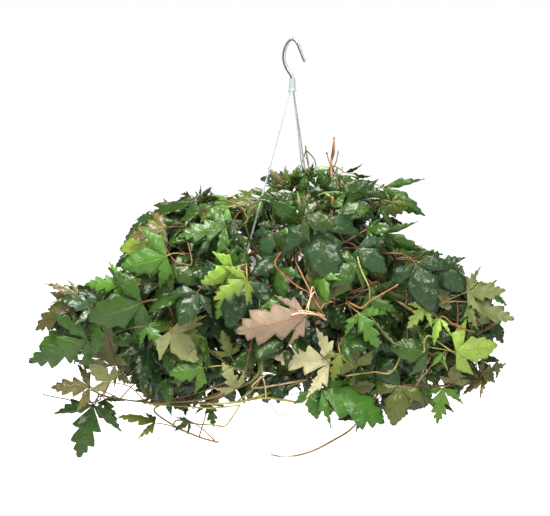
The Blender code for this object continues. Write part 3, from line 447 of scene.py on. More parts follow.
class Bark(Enum):
    """The colours that stems, petioles and tendrils have, as linear red, green and blue."""

    BROWN = (0.150, 0.090, 0.045)
    RED_BROWN = (0.190, 0.085, 0.045)
    ORANGE = (0.380, 0.190, 0.085)
    RUST = (0.280, 0.110, 0.050)
    GREEN = (0.120, 0.135, 0.040)
    YELLOW_GREEN = (0.360, 0.360, 0.110)
    CREAM = (0.560, 0.420, 0.290)
    TAN = (0.330, 0.200, 0.110)
    GREY_BROWN = (0.170, 0.130, 0.095)


BROWN, RED_BROWN, ORANGE, RUST, GREEN, YELLOW_GREEN, CREAM, TAN, GREY_BROWN = Bark


PETIOLE_BARKS = {
    BLUE_DARK: RED_BROWN, DARK: BROWN, MID: GREEN, BRIGHT: YELLOW_GREEN, LIME: YELLOW_GREEN,
    OLIVE: TAN, GREY_OLIVE: TAN, BRONZE: RED_BROWN, PALE: TAN, DRY: CREAM,
}


class Twig(NamedTuple):
    """A stem, petiole or tendril that shows: the leafy stem that it grows from, its colour, its
    radius at its root and its tip in mm, its layer, the pixels that it passes, and whether it has
    buds at its nodes."""

    stem: str
    bark: Bark
    radii: tuple
    layer: float
    pixels: tuple
    buds: bool = False


TWIGS = (
    Twig("high_left", RED_BROWN, (1.1, 0.8), 0.3, (
        (192, 262), (184, 264), (176, 262), (168, 252), (163, 240), (165, 229),
    )),
    Twig("crown", RUST, (1.2, 0.8), -0.1, ((311, 210), (313.6, 219), (316, 224))),
    Twig("crown", RUST, (1.3, 1.0), 0.0, (
        (275, 262), (282, 273), (297, 286), (309, 293), (317, 304), (324, 315),
    ), True),
    Twig("crown", ORANGE, (1.4, 0.8), -0.1, ((317, 304), (324, 304), (330, 302)), True),
    Twig("centre_low", CREAM, (0.9, 1.0), -0.1, ((313, 287), (310, 298), (306, 310))),
    Twig("centre_low", CREAM, (1.0, 1.0), -0.1, ((315, 292), (310, 300), (308, 312))),
    Twig("centre_low", CREAM, (1.2, 1.4), -0.2, ((324, 316), (312, 314), (300, 313), (291, 315))),
    Twig("centre_low", CREAM, (1.2, 0.8), -0.2, ((326, 320), (316, 314), (306, 311), (298, 311))),
    Twig("front_right", YELLOW_GREEN, (1.2, 0.9), -0.1, ((358, 259), (362, 272), (369, 287), (370, 300))),
    Twig("front_right", ORANGE, (1.4, 1.1), -0.1, ((361, 308), (370, 301), (382, 294), (396, 286)), True),
    Twig("oak_right", RED_BROWN, (1.3, 1.0), 0.3, ((457, 324), (458, 312), (457, 302))),
    Twig("oak_right", ORANGE, (1.5, 0.9), 0.3, (
        (457, 325), (472, 332), (485, 330), (494, 325), (499, 321),
    ), True),
    Twig("low_left", ORANGE, (1.1, 0.9), 0.3, ((104, 396), (108, 387), (112, 378))),
    Twig("low_left", GREY_BROWN, (1.1, 0.7), 0.5, (
        (98, 401), (82, 403), (65, 399), (45, 395), (28, 390),
    ), True),
    Twig("low_left", BROWN, (1.2, 0.9), 0.3, ((94, 405), (85, 393), (75, 383))),
    Twig("low_left", BROWN, (1.6, 1.3), 0.6, ((145, 403), (172, 399), (200, 392), (227, 382))),
    Twig("low_left", YELLOW_GREEN, (1.4, 1.1), 0.3, ((150, 404), (180, 406), (212, 408), (240, 405))),
    Twig("low_left_bud", BROWN, (1.4, 1.1), 0.5, ((165, 401), (196, 400), (226, 390))),
    Twig("low_left_bud", YELLOW_GREEN, (1.4, 1.1), 0.2, (
        (178, 420), (196, 424), (214, 425), (225, 426), (233, 416), (240, 405),
    )),
    Twig("low_left_bud", ORANGE, (1.7, 1.3), -0.1, ((182, 430), (199, 437), (209, 440), (217, 442)), True),
    Twig("budded", ORANGE, (2.1, 1.3), 2.0, (
        (332, 212), (333, 190), (331, 165), (334, 152), (334, 139),
    ), True),
    Twig("budded", ORANGE, (1.2, 0.9), 2.0, ((332, 168), (329, 161), (327, 154)), True),
    Twig("budded", ORANGE, (1.2, 0.9), 2.0, ((332, 170), (336, 162), (338, 153)), True),
    Twig("budded", ORANGE, (1.2, 0.9), 2.0, ((333, 192), (340, 186), (342, 176), (342, 168)), True),
    Twig("upright", BROWN, (1.5, 0.9), 2.4, ((307, 193), (309, 172), (307, 158), (305.7, 148)), True),
    Twig("bottom", GREY_BROWN, (0.6, 0.5), 0.2, (
        (268, 400), (272, 405), (276, 412), (282, 415), (288, 412), (291, 407),
    )),
    Twig("bottom", YELLOW_GREEN, (0.8, 0.6), 0.2, ((322, 398), (327, 405), (332, 410), (338, 413))),
    Twig("bottom", CREAM, (1.3, 1.2), 0.0, ((255, 388), (258, 380), (262, 377), (265, 385), (266, 398))),
    Twig("bottom", YELLOW_GREEN, (1.5, 1.0), 0.2, (
        (240, 402), (250, 392), (258, 383), (262, 372), (262, 360),
    )),
    Twig("bottom", YELLOW_GREEN, (1.8, 1.5), 0.1, (
        (302, 402), (284, 400), (262, 398), (230, 403), (200, 404),
    )),
    Twig("bottom", TAN, (1.9, 1.1), -0.1, (
        (372, 402), (365, 413), (350, 430), (332, 441), (315, 450), (299, 455), (284, 457), (273, 455),
    ), True),
    Twig("low_right", YELLOW_GREEN, (1.3, 1.0), -0.1, (
        (424, 352), (424, 343), (426, 338), (430, 336), (444, 346), (456, 354),
    )),
    Twig("low_right", YELLOW_GREEN, (1.4, 1.2), 0.4, ((392, 372), (375, 372), (358, 374), (345, 376))),
    Twig("low_right", RED_BROWN, (1.8, 1.5), 0.3, ((452, 385), (435, 386), (415, 385), (398, 386))),
    Twig("low_right", CREAM, (0.7, 0.5), 0.2, (
        (412, 390), (404, 394), (402, 400), (407, 403), (412, 399), (411, 392), (404, 389), (399, 394),
    )),
    Twig("low_right", CREAM, (0.7, 0.5), 0.0, ((418, 382), (422, 376), (427, 372), (424, 366), (418, 368))),
)


class View:
    """The view that the front was read from, and the places that its pixels show."""

    forward = Vector((0, math.cos(VIEW_ELEVATION), -math.sin(VIEW_ELEVATION)))
    right = Vector((1, 0, 0))
    up = right.cross(forward)
    eye = VIEW_TARGET - forward * VIEW_DISTANCE

    @classmethod
    def seen_at(cls, pixel: tuple, near: float) -> Vector:
        """Gives the point that shows at a pixel and lies this far in front of the pot's axis.

        Args:
            pixel: Column and row in the picture.
            near: Distance in front of the axis, in metres.

        Returns:
            The point in space.
        """
        across = (pixel[0] - PHOTO_CENTRE[0]) * PIXEL
        down = (pixel[1] - PHOTO_CENTRE[1]) * PIXEL
        ray = cls.forward * VIEW_DISTANCE + cls.right * across - cls.up * down
        return cls.eye + ray * ((-near - cls.eye.y) / ray.y)

    @classmethod
    def pixel_of(cls, point: Vector) -> tuple[float, float]:
        """Gives the column and row at which a point shows.

        Args:
            point: The point in space.

        Returns:
            Column and row in the picture.
        """
        way = point - cls.eye
        scale = VIEW_DISTANCE / (way.dot(cls.forward) * PIXEL)
        return PHOTO_CENTRE[0] + way.dot(cls.right) * scale, PHOTO_CENTRE[1] - way.dot(cls.up) * scale


def bush_front(pixel: tuple, layer: float) -> float:
    """Gives how far in front of the pot's axis the foliage lies at a pixel.

    Args:
        pixel: Column and row in the picture.
        layer: How many layers of leaves in.

    Returns:
        The distance in metres.
    """
    across = (pixel[0] - BUSH_CENTRE[0]) / BUSH_HALF[0]
    down = (pixel[1] - BUSH_CENTRE[1]) / BUSH_HALF[1]
    return BUSH_DEPTH * math.sqrt(max(0, 1 - across ** 2 - down ** 2)) - layer * LAYER


def in_bush(pixel: tuple, layer: float) -> Vector:
    """Gives the point that shows at a pixel, so many layers into the foliage."""
    return View.seen_at(pixel, bush_front(pixel, layer))


def polar(degrees: float, radius: float, height: float) -> Vector:
    """Gives the point at an angle, a distance from the pot's axis and a height."""
    angle = math.radians(degrees)
    return Vector((radius * math.cos(angle), radius * math.sin(angle), height))


def smooth_route(points: Sequence[Vector], steps: int) -> list[Vector]:
    """Gives points along a smooth curve through the given ones.

    Args:
        points: Points that the curve passes.
        steps: How many steps each span has.

    Returns:
        The points of the curve, with the given ones among them.
    """
    ends = [points[0] * 2 - points[1], *points, points[-1] * 2 - points[-2]]
    route = []
    for before, start, end, after in zip(ends, ends[1:], ends[2:], ends[3:]):
        for step in range(steps):
            t = step / steps
            bend = (end - before) * t + (before * 2 - start * 5 + end * 4 - after) * t ** 2
            bend += (start * 3 - before - end * 3 + after) * t ** 3
            route.append(start + bend / 2)
    return route + [points[-1]]


def tube_shell(route: Sequence[Vector], radius: float) -> tuple[list, list]:
    """Gives a plain four-sided tube, used only to see what it would touch.

    Args:
        route: The tube's middle line.
        radius: The tube's radius.

    Returns:
        Its points and its faces.
    """
    side = (route[1] - route[0]).orthogonal()
    points = []
    for index, place in enumerate(route):
        along = route[min(index + 1, len(route) - 1)] - route[max(index - 1, 0)]
        along.normalize()
        side = (side - along * side.dot(along)).normalized()
        face = side.cross(along)
        points += [place + offset * radius for offset in (side, face, -side, -face)]
    faces = []
    for ring in range(0, len(points) - 4, 4):
        for corner in range(4):
            after = (corner + 1) % 4
            faces.append((ring + corner, ring + after, ring + 4 + after, ring + 4 + corner))
    return points, faces


def in_basket(point: Vector) -> bool:
    """Tells whether a point is in the pot or just round it, up to a little over its rim.

    Args:
        point: The point in space.

    Returns:
        True where it is.
    """
    below_rim = RIM_HEIGHT + OVER_RIM - point.z
    radius = math.hypot(point.x, point.y)
    return 0 < below_rim < POT_DEPTH + UNDER_BASE and radius < RIM_RADIUS + ROUND_WALL


def box_of(points: Sequence[Vector]) -> tuple[list, list]:
    """Gives the lowest and the highest corner of the box that holds some points."""
    axes = list(zip(*points))
    return [min(axis) for axis in axes], [max(axis) for axis in axes]


class Room:
    """What is already in place, to keep each new stem and leaf clear of it."""

    def __init__(self) -> None:
        """Starts with nothing in place."""
        self.shells: list[tuple] = []

    def add(self, points: list, faces: list) -> None:
        """Takes a shell as in place."""
        self.shells.append((BVHTree.FromPolygons(points, faces), *box_of(points)))

    def free(self, points: list, faces: list, own: Optional[BVHTree] = None) -> bool:
        """Tells whether a shell touches nothing in place but its own stem, and stays out of the pot.

        Args:
            points: Its points.
            faces: Its faces.
            own: The tree of its own stem's shell.

        Returns:
            True where it is free.
        """
        lowest, highest = box_of(points)
        tree = BVHTree.FromPolygons(points, faces)
        for other, low, high in self.shells:
            apart = any(lowest[axis] > high[axis] or highest[axis] < low[axis] for axis in range(3))
            if not apart and other is not own and tree.overlap(other):
                return False
        return not any(in_basket(point) for point in points)


class Leaflet(NamedTuple):
    """A leaflet: its turn from the leaf's direction, its length, veins and fall, the shares of its
    width that its left and right halves have, and whether it is the middle one."""

    turn: float
    length: float
    veins: tuple
    drop: float
    left: float
    right: float
    middle: bool


def leaflets_of(length: float, form: Form) -> list[Leaflet]:
    """Gives the middle, right and left leaflets of a leaf.

    Args:
        length: The middle leaflet's length.
        form: The leaf's form.

    Returns:
        The three leaflets. A side one is narrow where it turns to the middle one.
    """
    middle_veins = form.veins if length > MIDDLE_LEAFLET else form.side_veins
    side_veins = form.side_veins if length > LARGE_LEAFLET else form.side_veins[:1]
    spread = math.radians(form.spread)
    side_length = length * form.side_length
    return [
        Leaflet(0, length, middle_veins, 0, 1, 1, True),
        Leaflet(spread, side_length, side_veins, form.side_drop, INNER_SHARE, 1, False),
        Leaflet(-spread, side_length, side_veins, form.side_drop, 1, INNER_SHARE, False),
    ]


class Wanted(NamedTuple):
    """A leaf to be placed: its joint, tip and facing in space, which way it may slide, its form,
    its roll and its colour."""

    joint: Vector
    tip: Vector
    facing: Vector
    slide: Vector
    form: Form
    roll: float
    tint: Tint


class Blade:
    """A leaf as the model has it: the middle surface of its blade and petiole."""

    def __init__(self, wanted: Wanted, size: float, move: Vector, turn: float, anchor: Vector) -> None:
        """Builds the leaf's coarse surface.

        Args:
            wanted: The leaf as it was seen.
            size: Its size, as a share of the one seen.
            move: How far it is slid.
            turn: A further turn about its midrib, in degrees.
            anchor: Where its petiole meets the stem.
        """
        self.joint = wanted.joint + move
        self.form = wanted.form
        self.tint = wanted.tint
        self.inner = False
        self.anchor = anchor
        tip = self.joint + (wanted.tip - wanted.joint) * size
        self.length = (tip - self.joint).length
        ahead = (tip - self.joint).normalized()
        face = (wanted.facing - ahead * wanted.facing.dot(ahead)).normalized()
        face.rotate(Matrix.Rotation(math.radians(wanted.roll + turn), 3, ahead))
        self.axes = (ahead.cross(face), ahead, face)
        self.points: list[Vector] = []
        self.faces: list[tuple] = []
        corners = [self.add(x * HUB, y * HUB, 0) for x, y in ((-1, 1), (1, 1), (1, -1), (-1, -1))]
        front_left, front_right, back_right, back_left = corners
        self.faces += [(back_left, back_right, front_right), (back_left, front_right, front_left)]
        bases = ((front_left, front_right), (front_right, back_right), (back_left, front_left))
        for base, leaflet in zip(bases, leaflets_of(self.length, self.form)):
            self.leaflet(base, leaflet)
        self.petiole_start = len(self.faces)
        self.knee = self.joint - ahead * KNEE_BACK - self.axes[2] * KNEE
        self.petiole((back_left, back_right))

    def add(self, across: float, along: float, lift: float) -> int:
        """Adds a point, measured in the leaf's own directions.

        Args:
            across: How far it is to the side of the midrib.
            along: How far it is towards the tip.
            lift: How far it is above the joint.

        Returns:
            Its number.
        """
        side, ahead, face = self.axes
        self.points.append(self.joint + side * across + ahead * along + face * lift)
        return len(self.points) - 1

    def leaflet(self, base: tuple, leaflet: Leaflet) -> None:
        """Adds a leaflet on a base edge of the hub.

        Args:
            base: The two points of the edge.
            leaflet: The leaflet.
        """
        sweep = math.radians(self.form.sweep)
        length = leaflet.length
        cos_turn, sin_turn = math.cos(leaflet.turn), math.sin(leaflet.turn)
        fall = math.tan(math.radians(leaflet.drop))

        def place(across: float, along: float) -> int:
            """Adds a point of the leaflet, measured in its own directions, and gives its number."""
            lift = self.form.arch * length * math.sin(math.pi * min(along / length, 1))
            lift -= self.form.cup * abs(across) + fall * along
            return self.add(
                across * cos_turn + along * sin_turn, along * cos_turn - across * sin_turn, lift)

        def vein_end(root: float, reach: float, share: float) -> tuple[float, float]:
            """Gives where a vein ends."""
            run = reach * share * length
            return run * math.sin(sweep), root * length + run * math.cos(sweep)

        left, right = base
        before = None
        for order, (root, reach) in enumerate(leaflet.veins):
            left_across, left_along = vein_end(root, reach, leaflet.left)
            right_across, right_along = vein_end(root, reach, leaflet.right)
            left_end = place(-left_across, left_along)
            row = (left_end, place(0, root * length), place(right_across, right_along))
            if before is None:
                self.faces += [(left, row[1], row[0]), (left, right, row[1]), (right, row[2], row[1])]
            elif order % 2:
                self.faces += [(before[0], before[1], row[0]), (before[1], row[1], row[0])]
                self.faces += [(before[1], before[2], row[2]), (before[1], row[2], row[1])]
            else:
                self.faces += [(before[0], row[1], row[0]), (before[0], before[1], row[1])]
                self.faces += [(before[2], row[2], row[1]), (before[1], before[2], row[1])]
            before = row
        tip = place(0, length)
        self.faces += [(before[0], before[1], tip), (before[1], before[2], tip)]

    def petiole(self, back: tuple) -> None:
        """Adds the strip to the anchor, with a knee where a straight one would fold under a leaflet.

        Args:
            back: The hub's two back points.
        """
        side, ahead, _ = self.axes
        way = (self.anchor - self.joint).normalized()
        self.kneed = abs(way.dot(side)) > MOST_SIDEWAYS or -way.dot(ahead) < LEAST_BACKWARD
        half_width = side * PETIOLE_END
        left, right = back
        for place in (self.knee, self.anchor) if self.kneed else (self.anchor,):
            self.points += [place - half_width, place + half_width]
            new_left, new_right = len(self.points) - 2, len(self.points) - 1
            self.faces.append((new_left, new_right, right, left))
            left, right = new_left, new_right
        way = (self.anchor - self.knee).normalized()
        self.edge_on = self.kneed and abs(way.dot(side)) > EDGE_ON

    def leaflets_of_shell(self, faces: list) -> list:
        """Gives those faces of its shell that aren't the petiole's."""
        half = len(self.faces)
        return faces[:self.petiole_start] + faces[half:half + self.petiole_start]

    def crosses_itself(self) -> bool:
        """Tells whether two of the leaf's faces that share no corner meet.

        Returns:
            True where they do.
        """
        points, faces = self.shell(SELF_TEST)
        count = len(self.points)
        tree = BVHTree.FromPolygons(points, faces)
        corners = [{corner % count for corner in face} for face in faces]
        return any(corners[one].isdisjoint(corners[other]) for one, other in tree.overlap(tree))

    def shell(self, thickness: float) -> tuple[list, list]:
        """Gives the two faces of the blade, used only to see what it would touch.

        Args:
            thickness: How thick it is.

        Returns:
            Its points and its faces.
        """
        normals = [Vector() for _ in self.points]
        for corners in self.faces:
            first, second, third = (self.points[corner] for corner in corners[:3])
            flat = (second - first).cross(third - first)
            for corner in corners:
                normals[corner] += flat
        offsets = [normal.normalized() * thickness / 2 for normal in normals]
        above = [point + offset for point, offset in zip(self.points, offsets)]
        below = [point - offset for point, offset in zip(self.points, offsets)]
        count = len(self.points)
        return above + below, self.faces + [tuple(c + count for c in face) for face in self.faces]


def front_leaf(leaf: Leaf) -> Wanted:
    """Gives a leaf of the front's tables its place in space.

    Args:
        leaf: Its row.

    Returns:
        The leaf to be placed.
    """
    near = bush_front(leaf.joint, leaf.layer)
    joint = View.seen_at(leaf.joint, near)
    tip = View.seen_at(leaf.tip, near + leaf.lean / 1000)
    towards_eye = (View.eye - joint).normalized()
    return Wanted(joint, tip, towards_eye, towards_eye, leaf.form, leaf.roll, leaf.tint)


def back_leaves(direction: float, arch: float, reach: float, fall: float, order: int) -> list[Wanted]:
    """Gives the leaves of one stem of the back by rule, each turned a little to one side of it.

    Args:
        direction: Where the stem goes, in degrees round the pot.
        arch: Its height over the rim, in mm.
        reach: How far its last leaf is from the axis, in mm.
        fall: How far its last leaf hangs below its root, in mm.
        order: The stem's number.

    Returns:
        The leaves.
    """
    draw = random.Random(BACK_SEED + order)
    colours = random.Random(BACK_SEED * 3 + order)
    placed = []
    for index in range(BACK_LEAVES):
        share = (index + 1) / BACK_LEAVES
        turned = direction + (BACK_TURN if index % 2 else -BACK_TURN) * draw.uniform(*BACK_SWING)
        radius = BACK_START + (reach / 1000 - BACK_START) * share
        height = RIM_HEIGHT + arch / 1000 + BACK_OVER_ARCH - (fall + arch) / 1000 * share ** BACK_FALL_POWER
        joint = polar(turned, radius, height + draw.uniform(-BACK_UNEVEN, BACK_UNEVEN))
        outward = polar(turned + draw.uniform(-BACK_SWAY, BACK_SWAY), 1, 0)
        ahead = outward * draw.uniform(*BACK_OUTWARD) + Vector((0, 0, -draw.uniform(*BACK_DOWNWARD)))
        length = draw.uniform(*BACK_LENGTHS)
        form = draw.choice((BROAD, BROAD, OAK))
        facing = outward * BACK_FACING_OUT + Vector((0, 0, 1))
        tip = joint + ahead.normalized() * length
        roll = draw.uniform(-BACK_ROLL, BACK_ROLL)
        placed.append(Wanted(joint, tip, facing, outward, form, roll, colours.choice(INNER_TINTS)))
    return placed


def wanted_anchor(leaf: Wanted) -> Vector:
    """Gives where the stem would pass so that the leaf's petiole comes forward out of the bush.

    Args:
        leaf: The leaf.

    Returns:
        The point.
    """
    inward = Vector((-leaf.joint.x, -leaf.joint.y, 0)).normalized()
    ahead = (leaf.tip - leaf.joint).normalized()
    back = inward * FROM_AXIS - ahead * FROM_BEHIND - leaf.facing.normalized() * FROM_UNDER
    back.z -= FROM_BELOW
    return leaf.joint + back.normalized() * PETIOLE


# Small changes to a stem's route, which let it pass the strands and the other stems, the least first:
# steps of its root, its heading over the rim, its arch and its depth
ROUTE_CHANGES = sorted(
    product(range(-3, 4), range(-3, 4), (-1, 0, 1), (-1, 0, 1)),
    key=lambda change: sum(map(abs, change)) + abs(change[3]),
)


def stem_route(root: tuple, arch: float, shown: list, anchors: list, change: tuple) -> list[Vector]:
    """Gives a stem's points: up out of the soil, over the rim towards its leaves, and on to the last.

    Args:
        root: Where it roots, in degrees round the pot and mm from its axis.
        arch: Its height over the rim, in mm.
        shown: Points that its route shows, if it does.
        anchors: Where its leaves' petioles would meet it.
        change: Steps of its root, heading, arch and depth.

    Returns:
        The route.
    """
    root_step, heading_step, arch_step, depth_step = change
    base = polar(root[0] + ROOT_STEP * root_step, root[1] / 1000, RIM_HEIGHT - SOIL_BELOW_RIM)
    points = [base - Vector((0, 0, STEM_SINK)), base + Vector((0, 0, STEM_RISE))]
    goals = [goal + (View.eye - goal).normalized() * (DEPTH_STEP * depth_step) for goal in shown]
    goals = goals or [goal + Vector((0, 0, DEPTH_STEP * depth_step)) for goal in anchors]
    first = goals[0]
    heading = math.degrees(math.atan2(first.y, first.x)) + HEADING_STEP * heading_step
    if math.hypot(first.x, first.y) > RIM_RADIUS:
        height = RIM_HEIGHT + arch / 1000 + ARCH_STEP * arch_step
        points.append(polar(heading, RIM_RADIUS + ARCH_OUT, height))
    for goal in goals:
        if (goal - points[-1]).length > NEXT_GOAL:
            points.append(goal)
    return without_straights(smooth_route(points, 2))


def without_straights(route: list[Vector]) -> list[Vector]:
    """Leaves out each halfway point where a route bends too little to show, and the one in the soil.

    Args:
        route: The route.

    Returns:
        The points that stay.
    """
    kept = route[:1]
    for index in range(2, len(route) - 1):
        bend = (route[index] - kept[-1]).angle(route[index + 1] - route[index])
        if index % 2 == 0 or bend > STRAIGHT_ENOUGH:
            kept.append(route[index])
    return kept + route[-1:]


def over_the_rim(route: list[Vector]) -> bool:
    """Tells whether a route clears the pot's wall and rim."""
    inside = RIM_RADIUS - INSIDE_RIM
    return all(not in_basket(point) or math.hypot(point.x, point.y) < inside for point in route)


def strand_route(azimuth: float) -> list[Vector]:
    """Gives a strand's line, from its socket in the collar down through the rim's flange.

    Args:
        azimuth: Its direction from the axis, in degrees.

    Returns:
        The points of the line.
    """
    top = polar(azimuth, STRAND_TOP_SPREAD, COLLAR_BOTTOM)
    foot = polar(azimuth, STRAND_HOLE_AT, RIM_HEIGHT + STRAND_FOOT_OVER_RIM)
    down = Vector((0, 0, -1))
    inside = top - down * (STRAND_SOCKET_DEPTH - SEAT_GAP)
    button_top = Vector((foot.x, foot.y, RIM_HEIGHT - FLANGE_THICKNESS - SEAT_GAP))
    return [inside, top, top.lerp(foot, 0.5), foot, button_top - Vector((0, 0, BUTTON_THICKNESS / 2))]


class Plan:
    """The foliage laid out so that nothing crosses: a route for each stem, and its blades."""

    def __init__(self) -> None:
        """Starts with the strands in place."""
        self.room = Room()
        self.routes: dict[str, list[Vector]] = {}
        self.own: dict[str, BVHTree] = {}
        self.blades: dict[str, list[Blade]] = {}
        for azimuth in STRAND_AZIMUTHS:
            self.room.add(*tube_shell(strand_route(azimuth), STRAND_FOOT_RADIUS + CLEARANCE))

    def lay_stem(self, name: str, root: tuple, arch: float, shown: list, leaves: list[Wanted]) -> None:
        """Lays a stem's route on the first change that is free.

        Args:
            name: The stem.
            root: Where it roots.
            arch: Its height over the rim, in mm.
            shown: Points that its route shows, if it does.
            leaves: Its leaves.
        """
        anchors = [wanted_anchor(leaf) for leaf in leaves]
        for change in ROUTE_CHANGES:
            route = stem_route(root, arch, shown, anchors, change)
            points, faces = tube_shell(route, STEM_RADIUS + CLEARANCE)
            tree = BVHTree.FromPolygons(points, faces)
            free = not any(tree.overlap(other) for other, _, _ in self.room.shells)
            if free and over_the_rim(route):
                break
        self.room.add(points, faces)
        self.own[name] = self.room.shells[-1][0]
        self.routes[name] = route
        self.blades[name] = []

    def lay_leaf(self, name: str, leaf: Wanted) -> None:
        """Tries a leaf where it was seen, then a little nearer or further, turned or smaller.

        Args:
            name: Its stem.
            leaf: The leaf.
        """
        wanted = wanted_anchor(leaf)
        anchors = sorted(self.routes[name][3:], key=lambda point: (point - wanted).length)[:ANCHOR_TRIES]
        for size, shift, turn, anchor in product(SIZES_TRIED, SLIDES_TRIED, TURNS_TRIED, anchors):
            blade = Blade(leaf, size, leaf.slide * (shift * SLIDE_STEP), turn, anchor)
            if self.fits(blade, self.own[name]):
                self.room.add(*blade.shell(BLADE))
                self.blades[name].append(blade)
                return
        LOG.warning("no room for a leaf of %s", name)

    def laid_within(self, name: str, blade: Blade) -> bool:
        """Takes a blade that fills the bush as laid if its leaflets touch nothing. Its petiole is not
        tested.

        Args:
            name: Its stem.
            blade: The blade.

        Returns:
            True where its leaflets are free.
        """
        points, faces = blade.shell(BLADE)
        leaflets = blade.leaflets_of_shell(faces)
        if not self.room.free(points, leaflets):
            return False
        self.room.add(points, leaflets)
        self.blades[name].append(blade)
        blade.inner = True
        return True

    def fits(self, blade: Blade, own: BVHTree) -> bool:
        """Tells whether a blade clears all else, and its leaflets clear its own stem and petiole.

        Args:
            blade: The blade.
            own: The tree of its stem's shell.

        Returns:
            True where it fits.
        """
        points, faces = blade.shell(BLADE + 2 * CLEARANCE)
        leaflets = BVHTree.FromPolygons(points, blade.leaflets_of_shell(faces))
        if blade.edge_on or leaflets.overlap(own):
            return False
        half = len(blade.faces)
        if blade.kneed and leaflets.overlap(BVHTree.FromPolygons(points, faces[half - 1::half])):
            return False
        return self.room.free(points, faces, own) and not blade.crosses_itself()

    def lay_model_leaves(self) -> None:
        """Lays the stems, then the leaves that the model has: those of the front from its outermost
        layer in, then those of the back."""
        layered = []
        for stem in FRONT_STEMS:
            shown = [in_bush(point, stem.route_layer) for point in stem.route]
            leaves = [front_leaf(leaf) for leaf in stem.leaves]
            layered += [(leaf.layer, stem.name, placed) for leaf, placed in zip(stem.leaves, leaves)]
            self.lay_stem(stem.name, stem.root, stem.arch, shown, leaves)
        layered.sort(key=lambda entry: entry[0])
        for order, (direction, arch, reach, fall) in enumerate(BACK_STEMS):
            name = f"back_{order + 1}"
            leaves = back_leaves(direction, arch, reach, fall, order)
            layered += [(BACK_LAYER, name, placed) for placed in leaves]
            self.lay_stem(name, (direction, BACK_ROOTS[order % 2]), arch, [], leaves)
        for _, name, placed in layered:
            self.lay_leaf(name, placed)

    def lay_more_leaves(self) -> None:
        """Lays the leaves of the front that the model leaves out, each on the nearest of the stems."""
        for leaf in MORE_LEAVES:
            placed = front_leaf(leaf)
            wanted = wanted_anchor(placed)
            points = [(name, point) for name, route in self.routes.items() for point in route[3:]]
            name, anchor = min(points, key=lambda entry: (entry[1] - wanted).length)
            for size, shift, turn in product(SIZES_TRIED, SLIDES_TRIED[:MORE_SLIDES], TURNS_TRIED):
                move = placed.slide * (shift * SLIDE_STEP)
                if self.laid_within(name, Blade(placed, size, move, turn, anchor)):
                    break


def inside_edge(pixel: tuple) -> bool:
    """Tells whether a pixel is where no background shows through the bush.

    Args:
        pixel: Column and row in the picture.

    Returns:
        True where it is.
    """
    inside = False
    for (left, top), (right, bottom) in zip(FILL_EDGE, (*FILL_EDGE[1:], FILL_EDGE[0])):
        if (top > pixel[1]) != (bottom > pixel[1]):
            crossing = left + (pixel[1] - top) / (bottom - top) * (right - left)
            inside ^= pixel[0] < crossing
    return inside


class Sight:
    """What shows of the leaves, twigs and strand read from the front, which no other leaf may hide."""

    thin = 5
    allowed = 4
    close = 0.003
    strand_steps = 60
    twig_steps = 3

    def __init__(self, plan: Plan) -> None:
        """Finds the points that show.

        Args:
            plan: The plan with the leaves of the front laid.
        """
        points, faces, wanted = [], [], []
        for name, blades in plan.blades.items():
            for blade in blades:
                leaflets = blade.faces[:blade.petiole_start]
                faces += [tuple(corner + len(points) for corner in face) for face in leaflets]
                points += blade.points
                if not name.startswith("back_"):
                    wanted += [(point, 1) for point in blade.points]
        thin = smooth_route(strand_route(STRAND_AZIMUTHS[0])[1:4], self.strand_steps)
        first, last = STRAND_SHOWS
        thin = [point for point in thin if first < View.pixel_of(point)[1] < last]
        for twig in TWIGS:
            thin += smooth_route([in_bush(pixel, twig.layer) for pixel in twig.pixels], self.twig_steps)
        wanted += [(point, self.thin) for point in thin]
        tree = BVHTree.FromPolygons(points, faces)
        self.points = [entry for entry in wanted if not self.hidden(tree, entry[0])]
        self.pixels = np.array([View.pixel_of(point) for point, _ in self.points])

    def hidden(self, tree: BVHTree, point: Vector) -> bool:
        """Tells whether a surface hides a point from the viewer."""
        way = point - View.eye
        return tree.ray_cast(View.eye, way.normalized(), way.length - self.close)[0] is not None

    def spared(self, blade: Blade) -> bool:
        """Tells whether a blade keeps within the bush's edge and hides next to nothing of its front.

        Args:
            blade: The blade.

        Returns:
            True where it may be laid.
        """
        corners = [View.pixel_of(point) for point in blade.points[:-2]]
        if not all(inside_edge(corner) for corner in corners):
            return False
        lowest, highest = np.min(corners, 0), np.max(corners, 0)
        near = np.flatnonzero(np.all((self.pixels > lowest) & (self.pixels < highest), 1))
        tree = BVHTree.FromPolygons(blade.points, blade.faces[:blade.petiole_start])
        hidden = (self.points[index][1] for index in near if self.hidden(tree, self.points[index][0]))
        return sum(hidden) <= self.allowed


